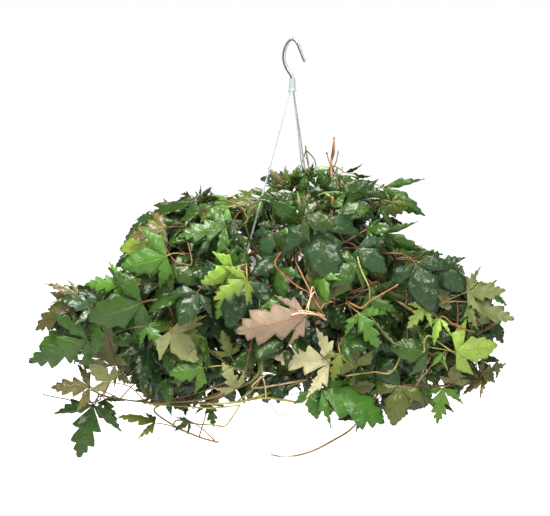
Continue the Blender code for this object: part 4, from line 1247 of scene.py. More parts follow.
@dataclass(frozen=True)
class Filling:
    """The rule that fills the bush behind the leaves that the front shows, and on its back, in a plan
    and out of sight of what the front shows."""

    plan: Plan
    sight: Sight
    front_seed: int = 41
    back_seed: int = 43
    across: float = 20
    down: float = 17
    jitter: float = 7
    columns: tuple = (26, 514)
    rows: tuple = (172, 416)
    centre: tuple = (282, 232)
    passes: tuple = ((0.5, 2.2), (2.2, 5.0), (5.0, 9.0))
    sway: float = 70
    steepest: float = 0.1
    nearer: tuple = (-0.2, 0.5)
    aside: tuple = (-0.5, 0.5)
    upward: float = 0.4
    lengths: tuple = (0.040, 0.074)
    forms: tuple = (BROAD, BROAD, BROAD, OAK)
    roll: float = 30
    petioles: tuple = (0.012, 0.110)
    back_each: int = 9
    back_fall: tuple = (0.1, 0.8)
    back_out: tuple = (0.015, 0.045)
    back_up: tuple = (-0.01, 0.03)
    back_facing: tuple = (0.6, 1)
    sizes: tuple = (1, 0.8, 0.62)
    slides: tuple = (0, 0.012, -0.012, 0.024)
    turns: tuple = (0, 30, -30)

    def fill_front(self) -> int:
        """Lays leaves on jittered grids over the part of the picture where no background shows.

        Returns:
            How many found room.
        """
        draw = random.Random(self.front_seed)
        laid = 0
        for layers, row in product(self.passes, np.arange(*self.rows, self.down)):
            first = self.columns[0] + draw.uniform(0, self.across)
            for column in np.arange(first, self.columns[1], self.across):
                pixel = tuple(place + draw.uniform(-self.jitter, self.jitter) for place in (column, row))
                if not inside_edge(pixel):
                    continue
                joint = in_bush(pixel, draw.uniform(*layers))
                outward = math.atan2(pixel[1] - self.centre[1], pixel[0] - self.centre[0])
                outward += math.radians(draw.uniform(-self.sway, self.sway))
                ahead = View.right * math.cos(outward) + View.up * min(self.steepest, -math.sin(outward))
                ahead -= View.forward * draw.uniform(*self.nearer)
                facing = -View.forward + Vector([draw.uniform(*self.aside) for _ in range(3)])
                laid += self.lay(draw, joint, ahead, facing + Vector((0, 0, self.upward)))
        return laid

    def fill_back(self) -> int:
        """Lays more leaves round each stem of the back.

        Returns:
            How many found room.
        """
        draw = random.Random(self.back_seed)
        laid = 0
        for order, (direction, *_) in enumerate(BACK_STEMS):
            route = self.plan.routes[f"back_{order + 1}"][3:]
            for _ in range(self.back_each):
                start = draw.choice(route)
                turned = direction + draw.uniform(-self.sway, self.sway)
                outward = polar(turned, 1, -draw.uniform(*self.back_fall))
                joint = start + outward * draw.uniform(*self.back_out)
                joint += Vector((0, 0, draw.uniform(*self.back_up)))
                laid += self.lay(draw, joint, outward, polar(direction, *self.back_facing))
        return laid

    def lay(self, draw: random.Random, joint: Vector, ahead: Vector, facing: Vector) -> bool:
        """Lays one leaf on the stem that passes nearest, if it finds room.

        Args:
            draw: Where its size, form and colour are drawn from.
            joint: Where its leaflets join.
            ahead: Where its tip points.
            facing: Where it looks.

        Returns:
            True where it found room.
        """
        tip = joint + ahead.normalized() * draw.uniform(*self.lengths)
        form = draw.choice(self.forms)
        roll = draw.uniform(-self.roll, self.roll)
        wanted = Wanted(joint, tip, facing, ahead, form, roll, draw.choice(INNER_TINTS))
        near = []
        for name, route in self.plan.routes.items():
            for point in route[3:]:
                distance = (point - joint).length
                if self.petioles[0] < distance < self.petioles[1]:
                    near.append((distance, name, point))
        if not near:
            return False
        _, name, point = min(near, key=lambda entry: entry[0])
        for size, slide, turn in product(self.sizes, self.slides, self.turns):
            blade = Blade(wanted, size, View.forward * slide, turn, point)
            if self.sight.spared(blade) and self.plan.laid_within(name, blade):
                return True
        return False


class Bench:
    """What a maker does with Blender's own tools: a piece is added, shaped, and finished."""

    @staticmethod
    def only(*objs: Object) -> None:
        """Selects only these objects, and makes the first of them the active one.

        Args:
            objs: The objects.
        """
        bpy.ops.object.select_all(action="DESELECT")
        for obj in objs:
            obj.select_set(True)
        bpy.context.view_layer.objects.active = objs[0]

    @staticmethod
    def join(name: str, parts: Sequence[Object]) -> Object:
        """Joins objects into the first of them.

        Args:
            name: The joined piece's name.
            parts: The objects.

        Returns:
            The joined piece.
        """
        Bench.only(*parts)
        if len(parts) > 1:
            bpy.ops.object.join()
        piece = bpy.context.view_layer.objects.active
        piece.name = piece.data.name = name
        return piece

    @staticmethod
    def finish(obj: Object, kind: str, **settings: object) -> None:
        """Adds a modifier to an object and applies it.

        Args:
            obj: The object.
            kind: The modifier's type.
            settings: Its settings.
        """
        Bench.only(obj)
        modifier = obj.modifiers.new(kind.lower(), kind)
        for name, value in settings.items():
            setattr(modifier, name, value)
        bpy.ops.object.modifier_apply(modifier=modifier.name)

    @staticmethod
    def place(obj: Object) -> None:
        """Applies an object's place, turn and scale to its mesh."""
        Bench.only(obj)
        bpy.ops.object.transform_apply(location=True, rotation=True, scale=True)

    @staticmethod
    def link(name: str, data: bpy.types.ID) -> Object:
        """Puts a mesh, curve, lamp or camera in the scene as an object.

        Args:
            name: Its name.
            data: The mesh, curve, lamp or camera.

        Returns:
            The object.
        """
        obj = bpy.data.objects.new(name, data)
        bpy.context.scene.collection.objects.link(obj)
        return obj

    @staticmethod
    def add(primitive: Callable, **settings: object) -> Object:
        """Adds a primitive with nothing else selected, and applies its place.

        Args:
            primitive: The operator that adds it.
            settings: The operator's settings.

        Returns:
            The new object.
        """
        bpy.ops.object.select_all(action="DESELECT")
        primitive(**settings)
        obj = bpy.context.object
        Bench.place(obj)
        return obj

    @staticmethod
    def rod(name: str, line: Sequence[Vector], radii: Sequence[float], smooth: int = 1) -> Object:
        """Makes a round rod along a smooth line, thicker or thinner from point to point.

        Args:
            name: Its name.
            line: Its middle line.
            radii: Its radius at each point.
            smooth: How finely it is rounded: 1 has eight sides.

        Returns:
            The rod.
        """
        curve = bpy.data.curves.new(name, "CURVE")
        curve.dimensions = "3D"
        curve.bevel_depth = 1
        curve.bevel_resolution = smooth
        curve.use_fill_caps = True
        spline = curve.splines.new("POLY")
        spline.points.add(len(line) - 1)
        for point, place, radius in zip(spline.points, line, radii):
            point.co = (*place, 1)
            point.radius = radius
        Bench.only(Bench.link(name, curve))
        bpy.ops.object.convert(target="MESH")
        rod = bpy.context.object
        bpy.ops.object.mode_set(mode="EDIT")
        bpy.ops.mesh.select_all(action="SELECT")
        bpy.ops.mesh.remove_doubles(threshold=0.00001)
        bpy.ops.mesh.normals_make_consistent(inside=False)
        bpy.ops.object.mode_set(mode="OBJECT")
        return rod

    @staticmethod
    def turned(name: str, profile: Sequence[tuple], steps: int) -> Object:
        """Makes a closed turned shape: a circle that is extruded and resized from ring to ring.

        Args:
            name: Its name.
            profile: (radius, height) of each ring. The first and the last ring are filled.
            steps: How many sides it has.

        Returns:
            The shape, with its faces pointing out.
        """
        radius, height = profile[0]
        obj = Bench.add(
            bpy.ops.mesh.primitive_circle_add, vertices=steps, radius=radius, fill_type="NGON",
            location=(0, 0, height))
        obj.name = name
        bpy.ops.object.mode_set(mode="EDIT")
        bpy.ops.mesh.select_all(action="SELECT")
        for next_radius, next_height in profile[1:]:
            rise = (0, 0, next_height - height)
            bpy.ops.mesh.extrude_region_move(TRANSFORM_OT_translate={"value": rise})
            share = next_radius / radius
            bpy.ops.transform.resize(value=(share, share, 1), center_override=(0, 0, next_height))
            radius, height = next_radius, next_height
        bpy.ops.mesh.select_all(action="SELECT")
        bpy.ops.mesh.normals_make_consistent(inside=False)
        bpy.ops.object.mode_set(mode="OBJECT")
        return obj

    @staticmethod
    def smooth(obj: Object, degrees: float) -> None:
        """Shades an object smooth, but for edges sharper than an angle."""
        Bench.only(obj)
        bpy.ops.object.shade_smooth_by_angle(angle=math.radians(degrees))

    @staticmethod
    def paint(obj: Object, colour: Sequence[float]) -> None:
        """Gives all of a mesh one colour in its tint attribute.

        Args:
            obj: The object.
            colour: Linear red, green and blue.
        """
        mesh = obj.data
        tint = mesh.attributes.get("tint") or mesh.attributes.new("tint", "FLOAT_COLOR", "POINT")
        tint.data.foreach_set("color", np.tile((*colour, 1.0), len(mesh.vertices)).astype(np.float32))

    @staticmethod
    def points_of(obj: Object) -> np.ndarray:
        """Gives a mesh's points.

        Args:
            obj: The object.

        Returns:
            A row of three numbers for each point.
        """
        points = np.empty(len(obj.data.vertices) * 3, np.float32)
        obj.data.vertices.foreach_get("co", points)
        return points.reshape(-1, 3).astype(float)

    @staticmethod
    def reshape(obj: Object, points: np.ndarray) -> None:
        """Moves a mesh's points to new places."""
        obj.data.vertices.foreach_set("co", points.astype(np.float32).ravel())
        obj.data.update()


class Outline(NamedTuple):
    """A leaflet's outline, as shares of its length: the tips of its lobes and the notches between
    them take turns, each as (its root along the midrib, how far its vein reaches)."""

    middle: tuple
    side: tuple


OUTLINES = {
    BROAD: Outline(
        ((0.14, 0.44), (0.32, 0.330), (0.50, 0.345), (0.61, 0.240), (0.71, 0.210), (0.80, 0.130)),
        ((0.20, 0.43), (0.37, 0.295), (0.51, 0.275), (0.63, 0.165), (0.73, 0.140), (0.82, 0.080)),
    ),
    OAK: Outline(
        ((0.14, 0.39), (0.32, 0.165), (0.48, 0.320), (0.62, 0.135), (0.71, 0.190), (0.81, 0.085)),
        ((0.20, 0.42), (0.36, 0.190), (0.48, 0.270), (0.62, 0.110), (0.71, 0.145), (0.82, 0.060)),
    ),
    LOBED: Outline(
        ((0.16, 0.36), (0.34, 0.205), (0.52, 0.345), (0.64, 0.170), (0.73, 0.215), (0.83, 0.090)),
        ((0.30, 0.35), (0.44, 0.170), (0.56, 0.160), (0.68, 0.080), (0.77, 0.090), (0.87, 0.035)),
    ),
    YOUNG: Outline(
        ((0.20, 0.28), (0.38, 0.170), (0.54, 0.215), (0.66, 0.100), (0.75, 0.115), (0.86, 0.035)),
        ((0.26, 0.26), (0.43, 0.140), (0.57, 0.160), (0.69, 0.070), (0.78, 0.080), (0.88, 0.025)),
    ),
}


class LeafMaker:
    """The finished leaf: three grids, made once, whose copies take each leaf's own shape."""

    rows = 16
    first_rows = 4
    stalk = 0.0007
    flare = 1.2
    shoulder = 0.06
    notch_fill = 0.6
    notch_round = 0.06
    lobe_round = 0.26
    notch_depths = (0.75, 1.25)
    quilt = 0.030
    quilt_edge = 1.3
    ripple = 0.030
    ripples = (0.3, 1.2)
    phases = (-0.8, 0.8)
    left_phase = 1.3
    fold = 0.22
    droop = 0.15
    droops = (0.2, 1)
    droop_power = 2.2
    shades = (0.8, 1.25)
    hues = (0.92, 1.08)
    # Painted shade: each leaf laid to fill the bush is darkened to this share.
    inner_painted_shade = 0.75
    dry_slot = 2

    def __init__(self, finishes: Sequence[Material], columns: int) -> None:
        """Makes the pattern: one grid for each leaflet, side by side.

        Args:
            finishes: The upper and under faces of a fresh leaf and of a dry one.
            columns: How many columns a grid has.
        """
        self.columns = columns
        grids = []
        for order in range(3):
            grids.append(Bench.add(
                bpy.ops.mesh.primitive_grid_add, x_subdivisions=columns, y_subdivisions=self.rows,
                size=1, calc_uvs=True, location=(order * 2, 0, 0)))
        self.pattern = Bench.join("leaf_pattern", grids)
        self.pattern.data.shade_smooth()
        for finish in finishes:
            self.pattern.data.materials.append(finish)
        flat = Bench.points_of(self.pattern)
        self.order = np.rint(flat[:, 0] / 2).astype(int)
        self.across = np.rint((flat[:, 0] - self.order * 2) * self.columns) / (self.columns / 2)
        self.row = np.rint((flat[:, 1] + 0.5) * self.rows).astype(int)

    def stops(self, knots: tuple, deep: float, length: float) -> tuple[np.ndarray, np.ndarray]:
        """Gives where each row of a leaflet's grid starts and how far it reaches.

        Args:
            knots: The leaflet's lobes and notches.
            deep: How deep its notches are, as a share of the usual.
            length: Its length.

        Returns:
            The place along the midrib and the reach of each row.
        """
        (root, reach), *rest = knots
        stalk = self.stalk / length
        places, reaches = [], []
        for step in range(self.first_rows):
            share = step / self.first_rows
            places.append(root * share)
            shoulder = self.shoulder * reach * math.sin(math.pi * share)
            reaches.append(stalk + (reach - stalk) * share ** self.flare + shoulder)
        before = (root, reach)
        for order, (place, own) in enumerate((*rest, (1.0, stalk))):
            notch = order % 2 == 0
            if notch:
                own += (1 - deep) * (before[1] - own) * self.notch_fill
            own = max(own, stalk)
            bend = (self.notch_round if notch else self.lobe_round) * abs(own - before[1])
            places += [before[0], (before[0] + place) / 2]
            reaches += [before[1], (before[1] + own) / 2 + bend]
            before = (place, own)
        return np.array([*places, 1.0]), np.array([*reaches, stalk])

    def leaf(self, blade: Blade, seed: int) -> Object:
        """Makes a finished leaf on a blade's joint, in its directions and form.

        Args:
            blade: The leaf as it was laid out.
            seed: What its small differences are drawn from.

        Returns:
            The leaf, with no thickness yet.
        """
        draw = random.Random(seed)
        form, outline = blade.form, OUTLINES[blade.form]
        sweep = math.radians(form.sweep)
        points = np.empty((len(self.row), 3))
        bend = draw.uniform(*self.droops) * self.droop
        for order, leaflet in enumerate(leaflets_of(blade.length, form)):
            mine = self.order == order
            across, row = self.across[mine], self.row[mine]
            knots = outline.middle if leaflet.middle else outline.side
            places, reaches = self.stops(knots, draw.uniform(*self.notch_depths), leaflet.length)
            share = np.where(across < 0, leaflet.left, leaflet.right)
            run = np.abs(across) * np.maximum(reaches[row] * share, self.stalk / leaflet.length)
            x = np.sign(across) * run * math.sin(sweep) * leaflet.length
            y = (places[row] + run * math.cos(sweep)) * leaflet.length
            rise = form.arch * leaflet.length * np.sin(np.pi * np.minimum(y / leaflet.length, 1))
            fold = form.cup + draw.uniform(0, self.fold)
            rise -= fold * np.abs(x) + math.tan(math.radians(leaflet.drop)) * y
            edge = np.abs(across)
            cycle = row * (math.tau / 4)
            rise -= self.quilt * leaflet.length * np.cos(cycle) * edge * (self.quilt_edge - edge)
            phase = draw.uniform(*self.phases) + np.where(across < 0, self.left_phase, 0)
            ripple = self.ripple * leaflet.length * draw.uniform(*self.ripples)
            rise += ripple * edge ** 2 * np.sin(cycle + phase)
            rise -= bend * leaflet.length * places[row] ** self.droop_power
            cos_turn, sin_turn = math.cos(leaflet.turn), math.sin(leaflet.turn)
            points[mine, 0] = x * cos_turn + y * sin_turn
            points[mine, 1] = y * cos_turn - x * sin_turn
            points[mine, 2] = rise
        axes = np.array([tuple(axis) for axis in blade.axes])
        mesh = self.pattern.data.copy()
        obj = Bench.link("leaf", mesh)
        Bench.reshape(obj, points @ axes + np.array(blade.joint))
        # A random tone, times painted shade for each leaf laid to fill the bush.
        lighter = draw.uniform(*self.shades) * (self.inner_painted_shade if blade.inner else 1)
        Bench.paint(obj, [channel * lighter * draw.uniform(*self.hues) for channel in blade.tint.value])
        if blade.tint is DRY:
            slots = np.full(len(mesh.polygons), self.dry_slot, np.int32)
            mesh.polygons.foreach_set("material_index", slots)
        return obj


@dataclass
class Stalks:
    """A leafy stem's own stem, its petioles, and the twigs that grow from it."""

    stem_radius: float = 0.0020
    stem_taper: float = 0.45
    node_swell: float = 0.35
    node_reach: float = 0.006
    petiole_radius: float = 0.00095
    petiole_taper: float = 0.35
    petiole_tip: float = 0.5
    bow: float = 0.06
    rise: float = 0.12
    into_leaf: float = 0.004
    root_gap: float = 0.002
    bud: float = 0.0019
    side_bud: float = 0.7
    bud_every: int = 4
    bud_turn: float = 2.4
    bud_line: tuple = (-0.3, 0.4, 1.1, 1.8, 2.4)
    bud_radii: tuple = (0.50, 0.72, 0.66, 0.38, 0.08)

    def stem(self, route: Sequence[Vector], nodes: Sequence[Vector]) -> Object:
        """Makes the stem itself, swollen at its nodes.

        Args:
            route: The stem's points.
            nodes: Where its petioles meet it.

        Returns:
            The stem.
        """
        line = smooth_route(route, 4)
        radii = []
        for index, place in enumerate(line):
            radius = self.stem_radius * (1 - self.stem_taper * index / len(line))
            close = min(((place - node).length for node in nodes), default=1)
            radii.append(radius * (1 + self.node_swell * max(0, 1 - close / self.node_reach)))
        return Bench.rod("stem", line, radii)

    def petiole(self, blade: Blade, draw: random.Random) -> Object:
        """Makes a leaf's petiole: a thin rod that bows a little from the stem to the leaflets.

        Args:
            blade: The leaf.
            draw: What its bow is drawn from.

        Returns:
            The petiole.
        """
        start, end = blade.anchor, blade.joint
        ahead = blade.axes[1]
        limits = ((-self.bow, self.bow), (-self.bow, self.bow), (0, self.rise))
        bow = Vector([draw.uniform(*limit) for limit in limits])
        middle = start.lerp(end, 0.5) + bow * (end - start).length
        line = [start, middle, blade.knee, end] if blade.kneed else [start, middle, end]
        line = smooth_route([*line, end + ahead * self.into_leaf], 3)
        taper = self.petiole_taper / len(line)
        radii = [self.petiole_radius * (1 - taper * index) for index in range(len(line))]
        radii[-1] *= self.petiole_tip
        return Bench.rod("petiole", line, radii)

    def twig(self, twig: Twig, route: Sequence[Vector]) -> list[Object]:
        """Makes a twig, rooted in its stem, with its buds.

        Args:
            twig: The twig.
            route: Its stem's points.

        Returns:
            Its pieces.
        """
        shown = [in_bush(pixel, twig.layer) for pixel in twig.pixels]
        fine = smooth_route(route, 4)
        root = min(fine, key=lambda point: (point - shown[0]).length)
        if (root - shown[0]).length > self.root_gap:
            shown.insert(0, root)
        line = smooth_route(shown, 4)
        first, last = (radius / 1000 for radius in twig.radii)
        radii = [first + (last - first) * index / (len(line) - 1) for index in range(len(line))]
        pieces = [Bench.rod("twig", line, radii)]
        for index in range(len(line) - 1, 3, -self.bud_every) if twig.buds else ():
            along = (line[index] - line[index - 1]).normalized()
            side = along.orthogonal().normalized()
            side.rotate(Matrix.Rotation(index * self.bud_turn, 3, along))
            last_bud = index == len(line) - 1
            size = self.bud * (1 if last_bud else self.side_bud)
            way = along + side * 0.2 if last_bud else along * 0.5 + side
            bud = [line[index] + way * (size * share) for share in self.bud_line]
            pieces.append(Bench.rod("bud", bud, [size * share for share in self.bud_radii]))
        for order, piece in enumerate(pieces):
            Bench.paint(piece, (TAN if order else twig.bark).value)
        return pieces


@dataclass
class LeafyStem:
    """One leafy stem: its leaves, and the stalks that carry them, in one piece."""

    name: str
    route: list
    blades: list
    seed: int
    maker: LeafMaker
    plain_maker: LeafMaker
    stalks: Stalks
    thickness: float = 0.0004

    @property
    def slot(self) -> str:
        """The material slot that the stem has in the model.

        Returns:
            The slot's name in the record.
        """
        if self.name in MID_GREEN_STEMS:
            return "mid_green_leaf"
        return "olive_leaf" if self.name in OLIVE_STEMS else "dark_green_leaf"

    def leaves(self) -> Object:
        """Makes all the leaves as one object and gives them their thickness.

        Returns:
            The leaves.
        """
        made = []
        for order, blade in enumerate(self.blades):
            maker = self.plain_maker if blade.inner else self.maker
            made.append(maker.leaf(blade, self.seed * 100 + order))
        leaves = Bench.join("leaves", made)
        Bench.finish(leaves, "SOLIDIFY", thickness=self.thickness, offset=0, material_offset=1)
        return leaves

    def build(self, bark: Material) -> Object:
        """Builds the whole stem in place of the model's own.

        Args:
            bark: The finish of its stalks.

        Returns:
            The piece.
        """
        draw = random.Random(self.seed)
        leaves = self.leaves()
        stalks = [self.stalks.stem(self.route, [blade.anchor for blade in self.blades])]
        Bench.paint(stalks[0], (GREEN if self.slot == "mid_green_leaf" else BROWN).value)
        for blade in self.blades:
            stalks.append(self.stalks.petiole(blade, draw))
            Bench.paint(stalks[-1], PETIOLE_BARKS[blade.tint].value)
        for twig in TWIGS:
            if twig.stem == self.name:
                stalks += self.stalks.twig(twig, self.route)
        rods = Bench.join("stalks", stalks)
        rods.data.shade_smooth()
        rods.data.materials.clear()
        rods.data.materials.append(bark)
        piece = Bench.join(f"ivy_{self.name}", [leaves, rods])
        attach(piece, BODY)
        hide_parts(f"leafy_stem_{self.name}")
        return piece


class NodeSheet:
    """A material's nodes, added one by one and fed with values or with other nodes' outputs."""

    def __init__(self, name: str, roughness: float, specular: float) -> None:
        """Starts a material.

        Args:
            name: Its name.
            roughness: How rough it is.
            specular: Its specular level.
        """
        self.material = bpy.data.materials.new(name)
        self.material.use_nodes = True
        self.tree = self.material.node_tree
        self.shader = self.tree.nodes["Principled BSDF"]
        self.shader.inputs["Roughness"].default_value = roughness
        self.shader.inputs["Specular IOR Level"].default_value = specular

    def add(
        self, kind: str, inputs: Optional[dict] = None, output: object = 0, **settings: object
    ) -> object:
        """Adds a node and gives one of its outputs.

        Args:
            kind: The node's type, with no "ShaderNode" before it.
            inputs: A value or another node's output for each input, by name or number.
            output: The output that is given, by name or number.
            settings: The node's own settings.

        Returns:
            The output.
        """
        node = self.tree.nodes.new("ShaderNode" + kind)
        for name, value in settings.items():
            setattr(node, name, value)
        for name, value in (inputs or {}).items():
            self.feed(node.inputs[name], value)
        return node.outputs[output]

    def feed(self, socket: NodeSocket, value: object) -> None:
        """Links an output to an input, or sets its value.

        Args:
            socket: The input.
            value: A value, or another node's output.
        """
        if isinstance(value, NodeSocket):
            self.tree.links.new(value, socket)
        else:
            socket.default_value = value

    def math(self, operation: str, *values: object) -> object:
        """Adds a Math node and gives its output."""
        return self.add("Math", dict(enumerate(values)), operation=operation)

    def mix(self, factor: object, first: object, second: object, blend: str = "MIX") -> object:
        """Adds a node that mixes so much of the second colour into the first, and gives its output."""
        inputs = {0: factor, 6: first, 7: second}
        return self.add("Mix", inputs, 2, data_type="RGBA", blend_type=blend, clamp_factor=True)

    def noise(self, scale: float, detail: float = 3, **inputs: float) -> object:
        """Adds noise in the piece's own place, from 0 to 1, and gives its output."""
        place = self.add("TexCoord", output="Object")
        return self.add("TexNoise", {"Vector": place, "Scale": scale, "Detail": detail} | inputs)

    def step(self, value: object, low: float, high: float) -> object:
        """Gives a smooth step from 0 to 1 as a value goes from low to high."""
        inputs = {"Value": value, "From Min": low, "From Max": high}
        return self.add("MapRange", inputs, interpolation_type="SMOOTHSTEP")

    def bump(self, height: object, distance: float, strength: float = 1) -> None:
        """Raises the surface by a height, so many metres at 1."""
        inputs = {"Height": height, "Distance": distance, "Strength": strength}
        self.feed(self.shader.inputs["Normal"], self.add("Bump", inputs))

    def colour(self, value: object) -> None:
        """Sets the surface's colour."""
        self.feed(self.shader.inputs["Base Color"], value)


@dataclass(frozen=True)
class LeafFinish:
    """A face of a leaf: its gloss, how its veins show, and how its colour departs from the tint. A
    wave of its relief is (its scale, how fine it goes, its height as a share of a vein's)."""

    name: str
    roughness: float
    specular: float
    veil: tuple
    veil_share: float
    vein_colour: tuple
    vein_share: float
    vein_depth: float
    blotches: float = 0.35
    paler_rougher: float = 0.16
    waves: tuple = ((65, 1, 2.2), (160, 2, 0.6), (420, 2, 0.12))
    wobble: float = 0.10
    midrib: tuple = (0.026, 0.008)
    side_veins: float = 4.0
    side_width: float = 0.070
    side_narrowing: float = 0.11
    side_edge: tuple = (1.0, 0.35)
    side_share: float = 0.7
    margin: tuple = (0.50, 0.30)
    base: tuple = (0.12, 0.22)

    def veins(self, sheet: NodeSheet) -> object:
        """Adds the nodes of the veins, which follow the leaflet's own map.

        Args:
            sheet: The material's nodes.

        Returns:
            How much of a vein there is.
        """
        place = sheet.add("UVMap", output="UV")
        across = sheet.add("SeparateXYZ", {0: place}, 0)
        along = sheet.add("SeparateXYZ", {0: place}, 1)
        off_midrib = sheet.math("ABSOLUTE", sheet.math("SUBTRACT", across, 0.5))
        wobble = sheet.math("MULTIPLY", sheet.math("SUBTRACT", sheet.noise(90), 0.5), self.wobble)
        cycle = sheet.math("ADD", sheet.math("MULTIPLY", along, self.side_veins), wobble)
        cycle = sheet.math("FRACT", sheet.math("ADD", cycle, 0.5))
        off_vein = sheet.math("ABSOLUTE", sheet.math("SUBTRACT", cycle, 0.5))
        midrib = sheet.step(off_midrib, *self.midrib)
        narrower = sheet.math("MULTIPLY", off_midrib, self.side_narrowing)
        width = sheet.math("SUBTRACT", self.side_width, narrower)
        side = sheet.step(sheet.math("DIVIDE", off_vein, width), *self.side_edge)
        side = sheet.math("MULTIPLY", side, sheet.step(off_midrib, *self.margin))
        side = sheet.math("MULTIPLY", side, sheet.step(along, *self.base))
        return sheet.math("MAXIMUM", midrib, sheet.math("MULTIPLY", side, self.side_share))

    def material(self) -> Material:
        """Gives the finish as a material that reads the leaf's tint and its grids' own map.

        Returns:
            The material.
        """
        sheet = NodeSheet(self.name, self.roughness, self.specular)
        tint = sheet.add("Attribute", output="Color", attribute_name="tint")
        veins = self.veins(sheet)
        blotch = sheet.math("MULTIPLY_ADD", sheet.noise(38), self.blotches * 2, 1 - self.blotches)
        blotch = sheet.add("CombineXYZ", {0: blotch, 1: blotch, 2: blotch})
        ground = sheet.mix(1.0, tint, blotch, "MULTIPLY")
        ground = sheet.mix(self.veil_share, ground, (*self.veil, 1))
        vein_colour = sheet.mix(0.6, ground, (*self.vein_colour, 1), "ADD")
        sheet.colour(sheet.mix(sheet.math("MULTIPLY", veins, self.vein_share), ground, vein_colour))
        pale = sheet.step(sheet.add("RGBToBW", {0: tint}), 0.055, 0.17)
        rough = sheet.math("MULTIPLY_ADD", pale, self.paler_rougher, self.roughness - 0.05)
        rough = sheet.math("MULTIPLY_ADD", sheet.noise(55, 2), 0.10, rough)
        sheet.feed(sheet.shader.inputs["Roughness"], rough)
        relief = sheet.math("MULTIPLY", veins, self.vein_depth)
        for scale, detail, rise in self.waves:
            relief = sheet.math("MULTIPLY_ADD", sheet.noise(scale, detail), rise, relief)
        sheet.bump(relief, 0.0012, 0.9)
        return sheet.material


LEAF_UPPER = LeafFinish(
    "leaf_upper_face", 0.28, 0.36, (0.02, 0.05, 0.03), 0.0, (0.13, 0.17, 0.045), 0.50, -1.0)
LEAF_UNDER = LeafFinish(
    "leaf_under_face", 0.46, 0.30, (0.100, 0.115, 0.045), 0.50, (0.20, 0.19, 0.09), 0.55, 1.0)
DRY_UPPER = LeafFinish(
    "dry_leaf_face", 0.42, 0.35, (0.30, 0.25, 0.18), 0.25, (0.20, 0.07, 0.05), 0.80, 1.0, 0.75)
DRY_UNDER = LeafFinish(
    "dry_leaf_under_face", 0.75, 0.15, (0.60, 0.44, 0.31), 0.40, (0.20, 0.10, 0.06), 0.55, 1.0, 0.22)


@dataclass(frozen=True)
class BarkFinish:
    """The skin of stems, petioles and tendrils, with darker stretches and fine pale flecks."""

    name: str = "stalk_skin"
    roughness: float = 0.55
    specular: float = 0.3

    def material(self) -> Material:
        """Gives the finish as a material that reads the stalk's tint.

        Returns:
            The material.
        """
        sheet = NodeSheet(self.name, self.roughness, self.specular)
        tint = sheet.add("Attribute", output="Color", attribute_name="tint")
        stretch = sheet.step(sheet.noise(45), 0.40, 0.62)
        darker = sheet.mix(1.0, tint, (0.62, 0.48, 0.42, 1), "MULTIPLY")
        ground = sheet.mix(stretch, darker, tint)
        flecks = sheet.step(sheet.noise(900, 2), 0.55, 0.75)
        sheet.colour(sheet.mix(sheet.math("MULTIPLY", flecks, 0.35), ground, (0.55, 0.36, 0.22, 1)))
        sheet.bump(sheet.noise(1300, 2), 0.0003)
        return sheet.material


@dataclass(frozen=True)
class PlasticFinish:
    """Moulded plastic: its colour, gloss, clearness, and the faint unevenness of the moulding."""

    name: str
    colour: tuple
    roughness: float
    clear: float = 0.0
    dust: float = 0.10
    lighter: tuple = (0.90, 0.90, 0.90)
    darker: tuple = (0.55, 0.55, 0.56)

    def material(self) -> Material:
        """Gives the finish as a material.

        Returns:
            The material.
        """
        sheet = NodeSheet(self.name, self.roughness, 0.5)
        cloud = sheet.step(sheet.noise(30), 0.35, 0.65)
        ground = sheet.mix(sheet.math("MULTIPLY", cloud, self.dust), (*self.colour, 1), (*self.lighter, 1))
        specks = sheet.step(sheet.noise(420, 2), 0.66, 0.74)
        sheet.colour(sheet.mix(sheet.math("MULTIPLY", specks, self.dust), ground, (*self.darker, 1)))
        rough = sheet.math("MULTIPLY_ADD", sheet.noise(160, 2), 0.14, self.roughness - 0.07)
        sheet.feed(sheet.shader.inputs["Roughness"], rough)
        sheet.bump(sheet.noise(700, 2), 0.00012)
        sheet.shader.inputs["Transmission Weight"].default_value = self.clear
        sheet.shader.inputs["IOR"].default_value = 1.46
        return sheet.material


POT_PLASTIC = PlasticFinish("white_pot_plastic", (0.80, 0.80, 0.80), 0.38)
STRAND_PLASTIC = PlasticFinish("pale_strand_plastic", (0.36, 0.42, 0.46), 0.30)
# The front right strand's darker copy of the same plastic is painted shade.
PAINTED_SHADE_STRAND_PLASTIC = PlasticFinish("painted_shade_strand_plastic", (0.13, 0.16, 0.18), 0.30)
HOOK_PLASTIC = PlasticFinish(
    "clear_grey_hook_plastic", (0.30, 0.35, 0.38), 0.20, 0.10, 0.0, (0.55, 0.60, 0.63), (0.30, 0.33, 0.35))
# Painted shade: a near-black plastic for the rod along the hook's inner side, where the clear plastic only
# looks dark.
EDGE_SHADE_PLASTIC = PlasticFinish("painted_shade_hook_edge_plastic", (0.030, 0.045, 0.055), 0.30, 0.0, 0.03)


@dataclass(frozen=True)
class SoilFinish:
    """Moist potting soil: dark crumbs with paler fibres and a few light grains."""

    name: str = "moist_potting_soil"

    def material(self) -> Material:
        """Gives the finish as a material.

        Returns:
            The material.
        """
        sheet = NodeSheet(self.name, 0.92, 0.2)
        crumbs = sheet.noise(260, 6)
        dark, light = (0.012, 0.008, 0.006, 1), (0.060, 0.040, 0.027, 1)
        ground = sheet.mix(sheet.step(crumbs, 0.35, 0.65), dark, light)
        fibres = sheet.step(sheet.noise(700, 3, Distortion=1.6), 0.62, 0.70)
        ground = sheet.mix(sheet.math("MULTIPLY", fibres, 0.5), ground, (0.150, 0.095, 0.055, 1))
        grains = sheet.step(sheet.noise(1500, 1), 0.76, 0.80)
        sheet.colour(sheet.mix(grains, ground, (0.35, 0.32, 0.28, 1)))
        sheet.bump(crumbs, 0.002)
        return sheet.material


